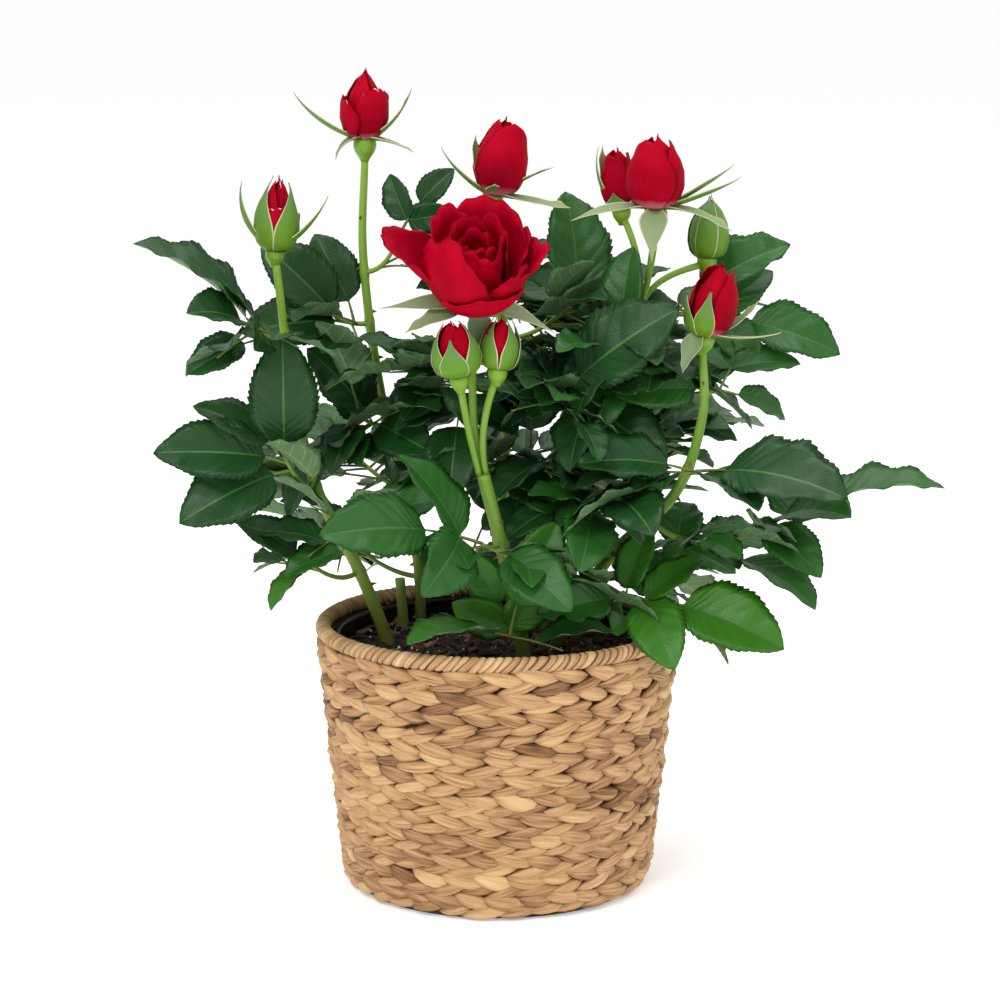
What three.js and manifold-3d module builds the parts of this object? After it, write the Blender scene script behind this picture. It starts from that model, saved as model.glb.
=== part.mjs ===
// A miniature rose bush in its nursery pot, which stands in a braided basket.
// Millimetres and degrees, +Z up. The origin is the middle of the basket's flat underside, and the
// front is -Y. Headings are seen from above: 0 is +X, 90 is +Y (away), -90 is the front. Rises are
// measured up from level.
//
// The canes stand on the compost. Each carries a bloom or forks into thinner stalks, and its sprays
// of compound leaves start beside it. Every piece that meets another keeps GAP to it.

import * as THREE from 'three';
import { mergeVertices } from 'three/addons/utils/BufferGeometryUtils.js';
import Module from 'manifold-3d';

const wasm = await Module();
wasm.setup();

// ---- Driving sizes ----

const GAP = 0.3;                    // clearance between pieces that touch
const LEAF_GAP = 0.35;              // clearance between a twig's foot and its cane

const RIM_HEIGHT = 118.4;           // top of the rim cord
const RIM_RADIUS = 80;              // outside of the rim cord
const FOOT_RADIUS = 67.4;           // outside of the basket at the foot
const CORD_RADIUS = 3.2;
const BRAID_ROWS = 12;
const BRAID_DEPTH = 1.5;            // how far a braid stands out of the groove beside it
const BASKET_WALL = 5.5;
const BASKET_FLOOR = 5;
const FOOT_EDGE = 5.5;              // rounding under the basket
const BASKET_SIDES = 36;

const POT_WALL = 1.2;
const POT_LIP = 2.6;                // width of the pot's rolled lip
const POT_SIDES = 28;
const SOIL_HEIGHT = 104;            // top of the compost

const LEAF_FOLD = 16;               // each half of a leaf rises this much from the midrib
const LEAF_CURL = 34;               // a leaf's tip points this much lower than its foot
const LEAF_WIDTH = 0.32;            // half width over length
const LEAF_THICKNESS = 0.008;       // half thickness over length
const LONG_LEAF = 36;               // a longer leaflet takes one more step of facets
const NECK = 0.3;                   // half width where a leaf grows out of its stalk
const PAIR_ANGLE = 54;              // between a leaflet of a pair and the leaf's stalk
const TWIG_RADIUS = [1.5, 1.2];     // foot, tip
const LEAFSTALK_RADIUS = [1.1, 0.9];

// ---- The plant ----

// Cane: points from the foot up, radius at the foot and at the tip.
const CANES = {
  left_cane: [[[-46, 10, 98], [-60, 0, 138], [-79, -10, 180], [-89, -12, 228], [-95, -10, 276]], 3.0, 1.7],
  tall_cane: [[[-35, 55, 98], [-37, 49, 140], [-52, 32, 215], [-59, 26, 275], [-58, 25, 319]], 2.6, 1.6],
  centre_cane: [[[13, -20, 98], [5, -34, 145], [-6, -45, 191]], 3.2, 2.8],
  right_cane: [[[23, 8, 98], [48, -6, 145], [77, -20, 178], [88, -25, 212], [88, -25, 240]], 3.0, 1.7],
  back_right_cane: [[[28, 32, 98], [36, 27, 150], [46, 21, 204], [62, 8, 256]], 2.8, 2.4],
  back_cane: [[[-3, 60, 98], [2, 48, 155], [4, 33, 212], [-2, 8, 297]], 2.6, 1.6],
};

// Stalk of a fork: the cane it stands on, the side of the cane's tip it stands on, its end, radii.
const STALKS = {
  front_left_stalk: ['centre_cane', -150, [-15, -58, 229], 1.3, 1.6],
  rose_stalk: ['centre_cane', 90, [-9, -44, 256], 1.4, 1.9],
  front_right_stalk: ['centre_cane', -30, [-1, -52, 231], 1.3, 1.6],
  right_bud_stalk: ['back_right_cane', -75, [68, -5, 292], 1.3, 1.8],
  right_back_stalk: ['back_right_cane', 165, [56, 18, 292], 1.2, 1.5],
  green_bud_stalk: ['back_right_cane', 45, [88, 13, 273], 1.2, 1.5],
};
const FORK_SPREAD = 1.75;           // from the cane's axis to a stalk's foot

// Bloom: stalk, heading and rise of its axis, width and height of the petals, radius of the hip, and
// its sepals: spread from the axis, curl, length, scatter, seed.
const BLOOMS = {
  left_bud: ['left_cane', [0, 86], [20, 28], 3.6, [38, 8, 27, 16, 14]],
  tall_bud: ['tall_cane', [0, 89], [22.5, 32], 4.4, [78, 10, 24, 40, 8]],
  centre_back_bud: ['back_cane', [0, 80], [25, 35], 4.2, [92, -40, 22, 34, 3]],
  front_left_bud: ['front_left_stalk', [180, 82], [19, 24], 3.6, [48, -36, 21, 12, 6]],
  front_right_bud: ['front_right_stalk', [0, 86], [15, 22], 3.6, [44, -32, 21, 12, 2]],
  right_bud: ['right_bud_stalk', [0, 89], [27, 33], 4.4, [104, 34, 31, 34, 12]],
  right_back_bud: ['right_back_stalk', [180, 86], [18, 27], 3.6, [40, -8, 26, 20, 17]],
  green_bud: ['green_bud_stalk', [0, 88], [15.5, 25], 3.8, [36, -34, 26, 8, 10]],
  far_right_bud: ['right_cane', [0, 77], [22, 33], 4.2, [76, -22, 24, 34, 15]],
};
const ROSE = { stalk: 'rose_stalk', heading: -92, rise: 62, hip: 4.6, sepals: [100, 0, 27, 24, 1] };

// Petal of the open rose: azimuth round its axis (-90 is down at the front), lean from the axis at
// the foot and at the lip, length, width.
const ROSE_PETALS = [
  [176, 66, 46, 43, 33], [222, 80, 2, 39, 36], [282, 84, 34, 27, 36], [326, 76, 22, 34, 28],
  [12, 66, 42, 44, 32], [78, 52, 6, 45, 40], [128, 50, 2, 42, 28],
];

// Leaf: share of the twig it starts at, heading, rise, reach, leaflets, length of the end leaflet,
// roll about its own line (+ turns the upper side to the left seen from its foot).
// A spray with `more` also grows that many leaves by the seeded rule in `plannedLeaves`, their end
// leaflets about `size` long.
const SPRAYS = [
  { name: 'left_top', cane: 'left_cane', at: 0.84, heading: -140, rise: 20, length: 14, seed: 3, leaves: [
    [1.0, -168, 36, 64, 3, 58, -15], [0.7, -128, 16, 50, 3, 34, -40], [0.4, -165, -22, 40, 1, 28, -50]] },
  { name: 'left_front', cane: 'left_cane', at: 0.5, heading: -125, rise: 40, length: 26, seed: 5, leaves: [
    [1.0, 95, 86, 52, 1, 47, 0], [0.9, -170, 6, 58, 1, 48, -60], [0.8, -160, -22, 54, 1, 46, -50],
    [0.95, 178, 30, 46, 1, 36, -30]] },
  { name: 'left_low', cane: 'left_cane', at: 0.26, heading: -140, rise: 22, length: 30, seed: 7, leaves: [
    [1.0, -165, 30, 34, 1, 30, -50], [0.9, -140, -40, 28, 1, 24, 0]] },
  { name: 'left_inner', cane: 'left_cane', at: 0.38, heading: -60, rise: 15, length: 16, seed: 9, leaves: [
    [1.0, -60, 30, 44, 3, 36, 0], [0.5, -20, 20, 46, 3, 36, 50]] },
  { name: 'tall_left', cane: 'tall_cane', at: 0.62, heading: -160, rise: 15, length: 14, seed: 10, leaves: [
    [1.0, 172, 44, 46, 3, 42, -60], [0.6, -165, -4, 48, 3, 42, -50], [0.4, 150, 62, 44, 1, 34, -50]] },
  { name: 'tall_middle', cane: 'tall_cane', at: 0.45, heading: -120, rise: 20, length: 22, seed: 11,
    leaves: [
    [1.0, -125, 56, 66, 3, 52, 0], [0.9, -110, -30, 52, 3, 44, 0], [0.5, -170, 50, 46, 3, 42, -60],
    [0.6, -50, -10, 44, 3, 38, 50]] },
  { name: 'tall_top', cane: 'tall_cane', at: 0.72, heading: -30, rise: 45, length: 20, seed: 13, leaves: [
    [1.0, 0, 50, 48, 3, 28, 70], [0.8, 0, 20, 40, 1, 30, 40]] },
  { name: 'front_low', cane: 'centre_cane', at: 0.22, heading: -105, rise: 10, length: 16, seed: 15,
    leaves: [
    [1.0, -142, 4, 54, 3, 46, 0], [0.9, 20, 66, 54, 3, 40, 70], [0.6, 165, 60, 50, 3, 34, -70]] },
  { name: 'front_middle', cane: 'centre_cane', at: 0.66, heading: -120, rise: 15, length: 14, seed: 17,
    leaves: [
    [1.0, -150, 8, 78, 3, 50, -50], [0.6, -40, -25, 50, 3, 40, 40]] },
  { name: 'right_low', cane: 'right_cane', at: 0.18, heading: -60, rise: 5, length: 30, seed: 19, leaves: [
    [1.0, -20, -14, 72, 3, 48, 45], [0.95, 40, 62, 44, 1, 40, 20], [0.9, -160, -5, 40, 1, 34, -60]] },
  { name: 'right_middle', cane: 'right_cane', at: 0.4, heading: -20, rise: 5, length: 52, seed: 21,
    leaves: [
    [1.0, -5, 12, 76, 3, 52, 8], [0.95, -45, -28, 38, 1, 34, 30], [0.5, -60, -12, 32, 3, 22, 0]] },
  { name: 'right_fork', cane: 'right_cane', at: 0.58, heading: -80, rise: 10, length: 14, seed: 23,
    leaves: [
    [1.0, -32, -4, 72, 3, 58, 30], [0.8, -60, -10, 50, 3, 44, 0], [0.9, -168, 6, 52, 3, 40, -40]] },
  { name: 'right_upper', cane: 'right_cane', at: 0.84, heading: 60, rise: -5, length: 14, seed: 25,
    leaves: [
    [1.0, 20, -25, 34, 3, 26, 40], [0.8, 100, 10, 50, 3, 44, 0], [0.5, -170, 0, 44, 3, 36, -60]] },
  { name: 'big_right', cane: 'back_right_cane', at: 0.74, heading: -118, rise: 4, length: 46, seed: 27,
    leaves: [
    [1.0, -8, 38, 84, 1, 70, 62], [0.8, -110, 14, 56, 3, 44, 0], [0.6, -30, -30, 50, 3, 46, 40]] },
  { name: 'far_right', cane: 'back_right_cane', at: 0.92, heading: 30, rise: 20, length: 24, seed: 29,
    leaves: [
    [1.0, 5, 30, 58, 3, 44, 40], [0.9, -10, -12, 76, 3, 42, 50]] },
  { name: 'top_centre', cane: 'back_right_cane', at: 0.78, heading: 140, rise: 50, length: 26, seed: 31,
    leaves: [
    [1.0, 110, 74, 62, 3, 50, 0], [0.8, 170, 20, 54, 3, 42, -60]] },
  { name: 'under_buds', cane: 'back_right_cane', at: 0.88, heading: -95, rise: 10, length: 18, seed: 32,
    leaves: [
    [1.0, 60, 76, 44, 3, 36, 0], [0.7, -140, -20, 44, 3, 38, -20], [0.6, -20, -20, 44, 3, 36, 30]] },
  { name: 'right_core', cane: 'back_right_cane', at: 0.46, heading: -80, rise: 10, length: 30, seed: 33,
    more: 3, size: 46 },
  { name: 'low_core', cane: 'back_right_cane', at: 0.26, heading: -100, rise: 15, length: 28, seed: 34,
    more: 3, size: 42 },
  { name: 'centre_core', cane: 'back_cane', at: 0.5, heading: -70, rise: 20, length: 32, seed: 35,
    more: 2, size: 44, leaves: [
    [1.0, 80, 76, 62, 3, 54, 10]] },
  { name: 'centre_right', cane: 'back_cane', at: 0.78, heading: -15, rise: 30, length: 34, seed: 37,
    more: 3, size: 44 },
  { name: 'centre_left', cane: 'back_cane', at: 0.68, heading: -150, rise: 20, length: 28, seed: 39,
    more: 3, size: 42 },
  { name: 'back_left', cane: 'tall_cane', at: 0.35, heading: 140, rise: 25, length: 34, seed: 41,
    more: 3, size: 42 },
  { name: 'back_middle', cane: 'back_cane', at: 0.4, heading: 90, rise: 20, length: 34, seed: 43,
    more: 3, size: 44 },
  { name: 'back_right', cane: 'back_right_cane', at: 0.52, heading: 50, rise: 20, length: 36, seed: 45,
    more: 3, size: 44 },
  { name: 'back_top', cane: 'back_cane', at: 0.8, heading: 80, rise: 35, length: 30, seed: 47,
    more: 3, size: 40 },
  { name: 'back_low', cane: 'back_cane', at: 0.15, heading: 110, rise: 10, length: 34, seed: 49,
    more: 2, size: 40 },
  { name: 'right_back_low', cane: 'back_right_cane', at: 0.2, heading: 15, rise: 15, length: 36, seed: 51,
    more: 3, size: 40 },
  { name: 'left_back_low', cane: 'tall_cane', at: 0.18, heading: 165, rise: 25, length: 32, seed: 53,
    more: 3, size: 36 },
];

// ---- Directions, curves and chance ----

const { degToRad, lerp } = THREE.MathUtils;
const point = (coordinates) => new THREE.Vector3(...coordinates);

function heading(degrees, rise) {
  const level = Math.cos(degToRad(rise));
  return new THREE.Vector3(
    Math.cos(degToRad(degrees)) * level, Math.sin(degToRad(degrees)) * level, Math.sin(degToRad(rise)));
}

// The upper side of a leaf that points along heading(degrees, rise).
function upperSide(degrees, rise, roll) {
  const along = heading(degrees, rise);
  return heading(degrees, rise + 90).applyAxisAngle(along, degToRad(roll));
}

// What is left of a direction at a right angle to an axis.
const square = (direction, axis) => direction.clone().addScaledVector(axis, -direction.dot(axis)).normalize();
const step = (start, direction, distance) => start.clone().addScaledVector(direction, distance);

// A mulberry32 stream of numbers from 0 to 1.
function seeded(seed) {
  let state = seed;
  return () => {
    state = (state + 0x6D2B79F5) | 0;
    let mixed = Math.imul(state ^ (state >>> 15), state | 1);
    mixed = (mixed + Math.imul(mixed ^ (mixed >>> 7), mixed | 61)) ^ mixed;
    return ((mixed ^ (mixed >>> 14)) >>> 0) / 4294967296;
  };
}

// ---- Solids ----

// Moves each vertex of an upright unit cylinder or cone: place(t, x, z) has t from 0 at the foot to 1
// at the top, and x, z on the unit circle (0, 0 on the axis).
function bend(geometry, place) {
  const positions = geometry.attributes.position;
  const vertex = new THREE.Vector3();
  for (let i = 0; i < positions.count; i++) {
    vertex.fromBufferAttribute(positions, i);
    const distance = Math.hypot(vertex.x, vertex.z);
    const unit = distance > 1e-9 ? 1 / distance : 0;
    const placed = place(vertex.y + 0.5, vertex.x * unit, vertex.z * unit);
    positions.setXYZ(i, placed.x, placed.y, placed.z);
  }
  return geometry;
}

// A tapering limb along a curve, with a flat cut at each end.
function limb(curve, [foot, tip], sides, steps) {
  const chord = curve.getPoint(1).sub(curve.getPoint(0)).normalize();
  const across = Math.abs(chord.z) > 0.7 ? new THREE.Vector3(1, 0, 0) : new THREE.Vector3(0, 0, 1);
  return bend(new THREE.CylinderGeometry(1, 1, 1, sides, steps), (t, x, z) => {
    const along = curve.getTangent(t);
    const right = square(across, along);
    const up = right.clone().cross(along);
    const radius = lerp(foot, tip, t);
    return curve.getPoint(t).addScaledVector(right, x * radius).addScaledVector(up, z * radius);
  });
}

// A blade is a leaflet, sepal or petal: its midline is an arc from `base` that turns by `curl` away
// from its upper side, and its half width follows t^rise (1 - t)^fall.
function makeBlade(base, chord, normal, length, shape) {
  const curl = degToRad(shape.curl);
  const side = square(normal, chord);
  const start = chord.clone().multiplyScalar(Math.cos(curl / 2)).addScaledVector(side, Math.sin(curl / 2));
  const up = square(side, start);
  return { base, start, up, across: start.clone().cross(up), length, curl, shape };
}

function bladePoint(blade, t, x, z) {
  const { start, up, across, length, curl, shape } = blade;
  const turned = curl * t;
  const upHere = start.clone().multiplyScalar(Math.sin(turned)).addScaledVector(up, Math.cos(turned));
  const widest = shape.rise / (shape.rise + shape.fall);
  const profile = (s) => s ** shape.rise * (1 - s) ** shape.fall;
  const half = Math.max(shape.width * length * profile(t) / profile(widest), t < 1 ? shape.neck : 0);
  const thick = lerp(shape.neck, Math.min(shape.thickness * length, shape.neck), Math.min(1, 3 * t));
  const fold = degToRad(shape.fold);
  return blade.base.clone()
    .addScaledVector(start, length * Math.sin(turned) / curl)
    .addScaledVector(up, -length * (1 - Math.cos(turned)) / curl)
    .addScaledVector(across, x * half * Math.cos(fold))
    .addScaledVector(upHere, Math.abs(x) * half * Math.sin(fold) + (t < 1 ? z * thick : 0));
}

function bladeSolid(blade, sides, steps, blunt = 1) {
  const cone = new THREE.CylinderGeometry(0, 1, 1, sides, steps);
  return solidOf(bend(cone, (t, x, z) => bladePoint(blade, 1 - (1 - t) ** blunt, x, z)));
}

// A solid for joins and cuts, from a closed geometry.
function solidOf(geometry) {
  const bare = geometry.clone();
  bare.deleteAttribute('normal');
  bare.deleteAttribute('uv');
  const merged = mergeVertices(bare);
  return new wasm.Manifold(new wasm.Mesh({
    numProp: 3,
    vertProperties: merged.attributes.position.array,
    triVerts: Uint32Array.from(merged.index.array),
  }));
}

function geometryOf(solid) {
  const { vertProperties, triVerts } = solid.getMesh();
  const geometry = new THREE.BufferGeometry();
  geometry.setAttribute('position', new THREE.BufferAttribute(vertProperties, 3));
  geometry.setIndex(new THREE.BufferAttribute(triVerts, 1));
  geometry.computeVertexNormals();
  return geometry;
}

// Joins solids. The biggest shell is kept, which fills a hollow that the join seals.
function joined(solids) {
  const shells = solids.reduce((whole, solid) => whole.add(solid)).decompose();
  return shells.reduce((biggest, shell) => (shell.volume() > biggest.volume() ? shell : biggest));
}

// ---- Materials and the scene graph ----

const material = (color, roughness) => new THREE.MeshStandardMaterial({ color, roughness, metalness: 0 });
const STRAW = material('#c2a06c', 0.85);
const PLASTIC = material('#17181a', 0.45);
const COMPOST = material('#2a1d15', 0.95);
const CANE = material('#6f9a35', 0.5);
const LEAF = material('#1f4a26', 0.45);
const PETAL = material('#b3062c', 0.6);
const CALYX = material('#7ea63a', 0.5);

const bush = new THREE.Group();
const solids = new Map();

// Adds a named mesh whose geometry is already in the bush's frame, and keeps its solid for the tests.
function addPiece(name, solid, look) {
  const mesh = new THREE.Mesh(geometryOf(solid), look);
  mesh.name = name;
  bush.add(mesh);
  solids.set(name, solid);
}

// Whether a solid of the named piece keeps GAP to every other piece so far.
function isClear(name, solid) {
  const { min, max } = solid.boundingBox();
  const near = (box) => [0, 1, 2].every((k) => box.min[k] < max[k] + GAP && box.max[k] > min[k] - GAP);
  return [...solids].every(([other, obstacle]) => other === name || !near(obstacle.boundingBox())
    || obstacle.minGap(solid, 2 * GAP) > GAP);
}

// ---- The basket, its rim cord, the nursery pot and the compost ----

// A solid of revolution about Z, from [radius, height] pairs that close on themselves.
function turned(profile, sides) {
  const outline = profile.map(([radius, height]) => new THREE.Vector2(radius, height));
  return solidOf(new THREE.LatheGeometry([...outline, outline[0].clone()], sides).rotateX(Math.PI / 2));
}

const ringRadius = RIM_RADIUS - CORD_RADIUS;
const ringHeight = RIM_HEIGHT - CORD_RADIUS;
const wallTop = ringHeight - CORD_RADIUS - GAP;
const grooveRadius = (height) => lerp(FOOT_RADIUS, RIM_RADIUS - 1, height / wallTop) - BRAID_DEPTH;
const innerRadius = (height) => grooveRadius(height) + BRAID_DEPTH - BASKET_WALL;
const potRadius = (height) => innerRadius(height) - GAP - 1;

function basket() {
  const rowHeight = (wallTop - FOOT_EDGE) / BRAID_ROWS;
  const outside = [[FOOT_RADIUS - FOOT_EDGE, 0], [grooveRadius(FOOT_EDGE), FOOT_EDGE]];
  for (let row = 0; row < BRAID_ROWS; row++) {
    const foot = FOOT_EDGE + row * rowHeight;
    outside.push([grooveRadius(foot + rowHeight / 2) + BRAID_DEPTH, foot + rowHeight / 2]);
    outside.push([grooveRadius(foot + rowHeight), foot + rowHeight]);
  }
  const inside = [[innerRadius(wallTop), wallTop], [innerRadius(BASKET_FLOOR), BASKET_FLOOR]];
  return turned([[0, 0], ...outside, ...inside, [0, BASKET_FLOOR]], BASKET_SIDES);
}

const rimCord = () => solidOf(
  new THREE.TorusGeometry(ringRadius, CORD_RADIUS, 6, BASKET_SIDES).translate(0, 0, ringHeight));

const potFoot = BASKET_FLOOR + GAP;
const potTop = wallTop + 1;

function nurseryPot() {
  const inner = (height) => potRadius(height) - POT_WALL;
  return turned([
    [0, potFoot], [potRadius(potFoot), potFoot], [potRadius(potTop), potTop],
    [potRadius(potTop) - POT_LIP, potTop], [potRadius(potTop) - POT_LIP, potTop - 1.5],
    [inner(potTop - 3), potTop - 3], [inner(potFoot + POT_WALL), potFoot + POT_WALL], [0, potFoot + POT_WALL],
  ], POT_SIDES);
}

function compost() {
  const foot = potFoot + POT_WALL + GAP;
  const radius = (height) => potRadius(height) - POT_WALL - GAP - 0.4;
  const side = [[radius(foot), foot], [radius(SOIL_HEIGHT), SOIL_HEIGHT]];
  return turned([[0, foot], ...side, [0, SOIL_HEIGHT]], POT_SIDES);
}

addPiece('basket', basket(), STRAW);
addPiece('rim_cord', rimCord(), STRAW);
addPiece('nursery_pot', nurseryPot(), PLASTIC);
addPiece('compost', compost(), COMPOST);

// ---- Canes and stalks ----

const limbs = {};

// Everything below the height where the canes leave the compost.
const ground = () => solidOf(new THREE.BoxGeometry(400, 400, 100).translate(0, 0, SOIL_HEIGHT + GAP - 50));

for (const [name, [points, foot, tip]] of Object.entries(CANES)) {
  const curve = new THREE.CatmullRomCurve3(points.map(point), false, 'catmullrom', 0.5);
  limbs[name] = { curve, foot, tip };
  addPiece(name, solidOf(limb(curve, [foot, tip], 6, 3 * (points.length - 1))).subtract(ground()), CANE);
}

for (const [name, [cane, side, end, foot, tip]] of Object.entries(STALKS)) {
  const fork = limbs[cane].curve;
  const out = fork.getTangent(1);
  const start = step(step(fork.getPoint(1), out, GAP), square(heading(side, 0), out), FORK_SPREAD);
  const length = start.distanceTo(point(end));
  const curve = new THREE.QuadraticBezierCurve3(start, step(start, out, length * 0.45), point(end));
  limbs[name] = { curve, foot, tip };
  addPiece(name, solidOf(limb(curve, [foot, tip], 5, 3)), CANE);
}

// ---- Blooms ----

const SEPAL = { curl: 0, fold: 14, width: 0.125, thickness: 0.012, neck: 0.4, rise: 0.5, fall: 1.2 };
const PETAL_SHAPE = { curl: 0, fold: 12, width: 0.5, thickness: 0.012, neck: 0.5, rise: 0.8, fall: 0.36 };

// A bloom is made round +Z with its hip's middle at the origin, then turned to its axis.
function toAxis(degrees, rise) {
  const up = heading(degrees, rise);
  const left = square(new THREE.Vector3(0, 1, 0), up);
  return new THREE.Matrix4().makeBasis(left.clone().cross(up), left, up);
}

// Blade of a flower at an azimuth round +Z, leaning out of the axis by `lean` where it starts.
function flowerBlade(azimuth, radius, height, lean, length, shape) {
  const out = heading(azimuth, 0);
  const start = out.clone().multiplyScalar(radius).setZ(height);
  const middle = lean + shape.curl / 2;
  return makeBlade(start, heading(azimuth, 90 - middle), heading(azimuth, 180 - middle), length, shape);
}

function sepals(hip, [spread, curl, length, scatter, seed]) {
  const draw = seeded(seed);
  return Array.from({ length: 5 }, (_, i) => {
    const azimuth = 72 * i + 40 * draw();
    const lean = spread + scatter * (draw() - 0.5);
    const bent = curl + scatter * (draw() - 0.5) + 0.5;
    const long = length * (0.85 + 0.3 * draw());
    return flowerBlade(azimuth, hip * 0.55, hip * 0.8, lean, long, { ...SEPAL, curl: bent });
  });
}

function budBody(width, height, hip) {
  const girth = [[0, 0], [0, 0.5], [0.3, 1], [0.65, 0.8], [1, 0.18], [1, 0]];
  return turned(girth.map(([up, wide]) => [wide * width / 2, hip * 0.7 + up * height]), 8);
}

const hipBall = (radius) => solidOf(new THREE.SphereGeometry(radius, 6, 4).rotateX(Math.PI / 2));

function placeBloom(name, stalk, [degrees, rise], hip, parts, look) {
  const { curve } = limbs[stalk];
  const middle = step(curve.getPoint(1), curve.getTangent(1), hip + GAP);
  const place = toAxis(degrees, rise).setPosition(middle);
  addPiece(name, joined(parts).transform(place.elements), look);
}

for (const [name, [stalk, axis, [width, height], hip, calyx]] of Object.entries(BLOOMS)) {
  const leaves = sepals(hip, calyx).map((blade) => bladeSolid(blade, 4, 2));
  const look = name === 'green_bud' ? CALYX : PETAL;
  placeBloom(name, stalk, axis, hip, [hipBall(hip), budBody(width, height, hip), ...leaves], look);
}

function rosePetals(hip) {
  return ROSE_PETALS.map(([azimuth, foot, lip, length, width]) => {
    const shape = { ...PETAL_SHAPE, curl: lip - foot, width: width / length / 2 };
    return flowerBlade(azimuth, hip * 0.5, hip * 0.7, foot, length, shape);
  });
}

placeBloom('open_rose', ROSE.stalk, [ROSE.heading, ROSE.rise], ROSE.hip, [
  hipBall(ROSE.hip),
  budBody(13, 26, ROSE.hip),
  ...sepals(ROSE.hip, ROSE.sepals).map((blade) => bladeSolid(blade, 4, 2)),
  ...rosePetals(ROSE.hip).map((blade) => bladeSolid(blade, 4, 3, 1.8)),
], PETAL);

// ---- Sprays of leaves ----

const LEAFLET = {
  curl: LEAF_CURL, fold: LEAF_FOLD, width: LEAF_WIDTH, thickness: LEAF_THICKNESS, neck: NECK,
  rise: 0.6, fall: 0.85,
};
const LEAFLET_ARC = degToRad(LEAF_CURL / 2) / Math.sin(degToRad(LEAF_CURL / 2));  // length over chord

// Left and right leaflet of a pair: -1 and 1 with what chance adds to its turn, tilt and size.
function chancedPair(draw) {
  return [-1, 1].map((way) => [way, draw(), draw(), draw()]);
}

// A compound leaf: an arching stalk that ends in one leaflet, with pairs behind it.
function plannedLeaf(start, [, degrees, rise, reach, count, length, roll], draw) {
  const out = heading(degrees, rise);
  const upper = upperSide(degrees, rise, roll);
  const end = step(start, out, reach);
  const arch = step(step(start, out, reach / 2), upperSide(degrees, rise, 0), 0.13 * reach);
  const share = 1 - length / reach;
  const knee = new THREE.QuadraticBezierCurve3(start, arch, end).getPoint(share);
  const stalk = new THREE.QuadraticBezierCurve3(start, start.clone().lerp(arch, share), knee);
  const onward = end.clone().sub(knee);
  const leaflets = [
    makeBlade(knee, onward.clone().normalize(), upper, onward.length() * LEAFLET_ARC, LEAFLET)];
  let back = 0.34 * length;
  let size = 0.86 * length;
  for (let pair = 0; pair < (count - 1) / 2; pair++) {
    const at = 1 - back / (reach * share);
    const chances = chancedPair(draw);
    if (at < 0.12) break;
    const along = stalk.getTangent(at);
    const up = square(upper, along);
    const right = along.clone().cross(up);
    for (const [way, turn, tilt, grow] of chances) {
      const angle = degToRad(PAIR_ANGLE + 12 * (turn - 0.5));
      const chord = step(along.clone().multiplyScalar(Math.cos(angle)), right, way * Math.sin(angle));
      const normal = step(step(up, right, 0.18 * way), along, 0.25 * (tilt - 0.5));
      leaflets.push(makeBlade(stalk.getPoint(at), chord, normal, size * (0.92 + 0.16 * grow), LEAFLET));
    }
    back += 0.52 * length;
    size *= 0.8;
  }
  return { stalk, leaflets };
}

// The leaves that a spray's list names, and those that it grows by chance on alternate sides.
function plannedLeaves({ leaves = [], more = 0, size, heading: degrees, rise }, draw) {
  const grown = Array.from({ length: more }, (_, i) => {
    const [turn, lift, grow, roll] = Array.from({ length: 4 }, draw);
    const side = i === more - 1 ? 0.3 * (turn - 0.5) : (i % 2 ? 1 : -1) * (0.25 + 0.75 * turn);
    const length = size * (0.85 + 0.3 * grow);
    return [0.35 + 0.65 * (i + 1) / more, degrees + 70 * side, rise - 34 + 44 * (lift - 0.5),
      length * 1.7, 3, length, 60 * (roll - 0.5)];
  });
  return [...leaves, ...grown];
}

function plannedSpray(spray) {
  const draw = seeded(spray.seed);
  const { curve, foot, tip } = limbs[spray.cane];
  const along = heading(spray.heading, spray.rise);
  const out = square(along, curve.getTangent(spray.at));
  const start = step(curve.getPoint(spray.at), out, lerp(foot, tip, spray.at) + LEAF_GAP);
  const end = step(start, along, spray.length);
  const line = new THREE.QuadraticBezierCurve3(start, step(start, out, 0.4 * spray.length), end);
  const twig = solidOf(limb(line, TWIG_RADIUS, 3, 2));
  const leaves = plannedLeaves(spray, draw).map((leaf) => plannedLeaf(line.getPoint(leaf[0]), leaf, draw));
  return { name: `${spray.name}_leaves`, twig, leaves };
}

// Grows what is clear of the other pieces: a leaflet that would touch one is tried smaller first.
function grownSpray({ name, twig, leaves }) {
  const parts = [twig];
  for (const { stalk, leaflets } of leaves) {
    const stem = solidOf(limb(stalk, LEAFSTALK_RADIUS, 3, 2));
    if (!isClear(name, stem)) continue;
    parts.push(stem);
    for (const leaflet of leaflets) {
      const steps = leaflet.length > LONG_LEAF ? 3 : 2;
      const shrunk = (share) => bladeSolid({ ...leaflet, length: share * leaflet.length }, 4, steps);
      const sizes = [1, 0.75].map(shrunk);
      const fitting = sizes.find((size) => isClear(name, size));
      if (fitting) parts.push(fitting);
    }
  }
  return joined(parts);
}

// Every twig stands before the first leaf grows, so that leaves grow round twigs.
const sprays = SPRAYS.map(plannedSpray);
sprays.forEach(({ name, twig }) => solids.set(name, twig));
sprays.forEach((spray) => addPiece(spray.name, grownSpray(spray), LEAF));

export default bush;
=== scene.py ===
"""Dresses a miniature rose bush in its nursery pot and braided basket.

Sizes are in millimetres and angles in degrees until a mesh is made, which is in metres. The origin is
the middle of the basket's flat underside, +Z is up and the front is -Y. Headings are seen from above:
0 is +X, 90 is +Y (away), -90 is the front. Rises are measured up from level.
"""

import copy
import math
from collections import namedtuple

import bpy
import numpy as np
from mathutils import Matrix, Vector, noise
from mathutils.bvhtree import BVHTree


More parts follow.
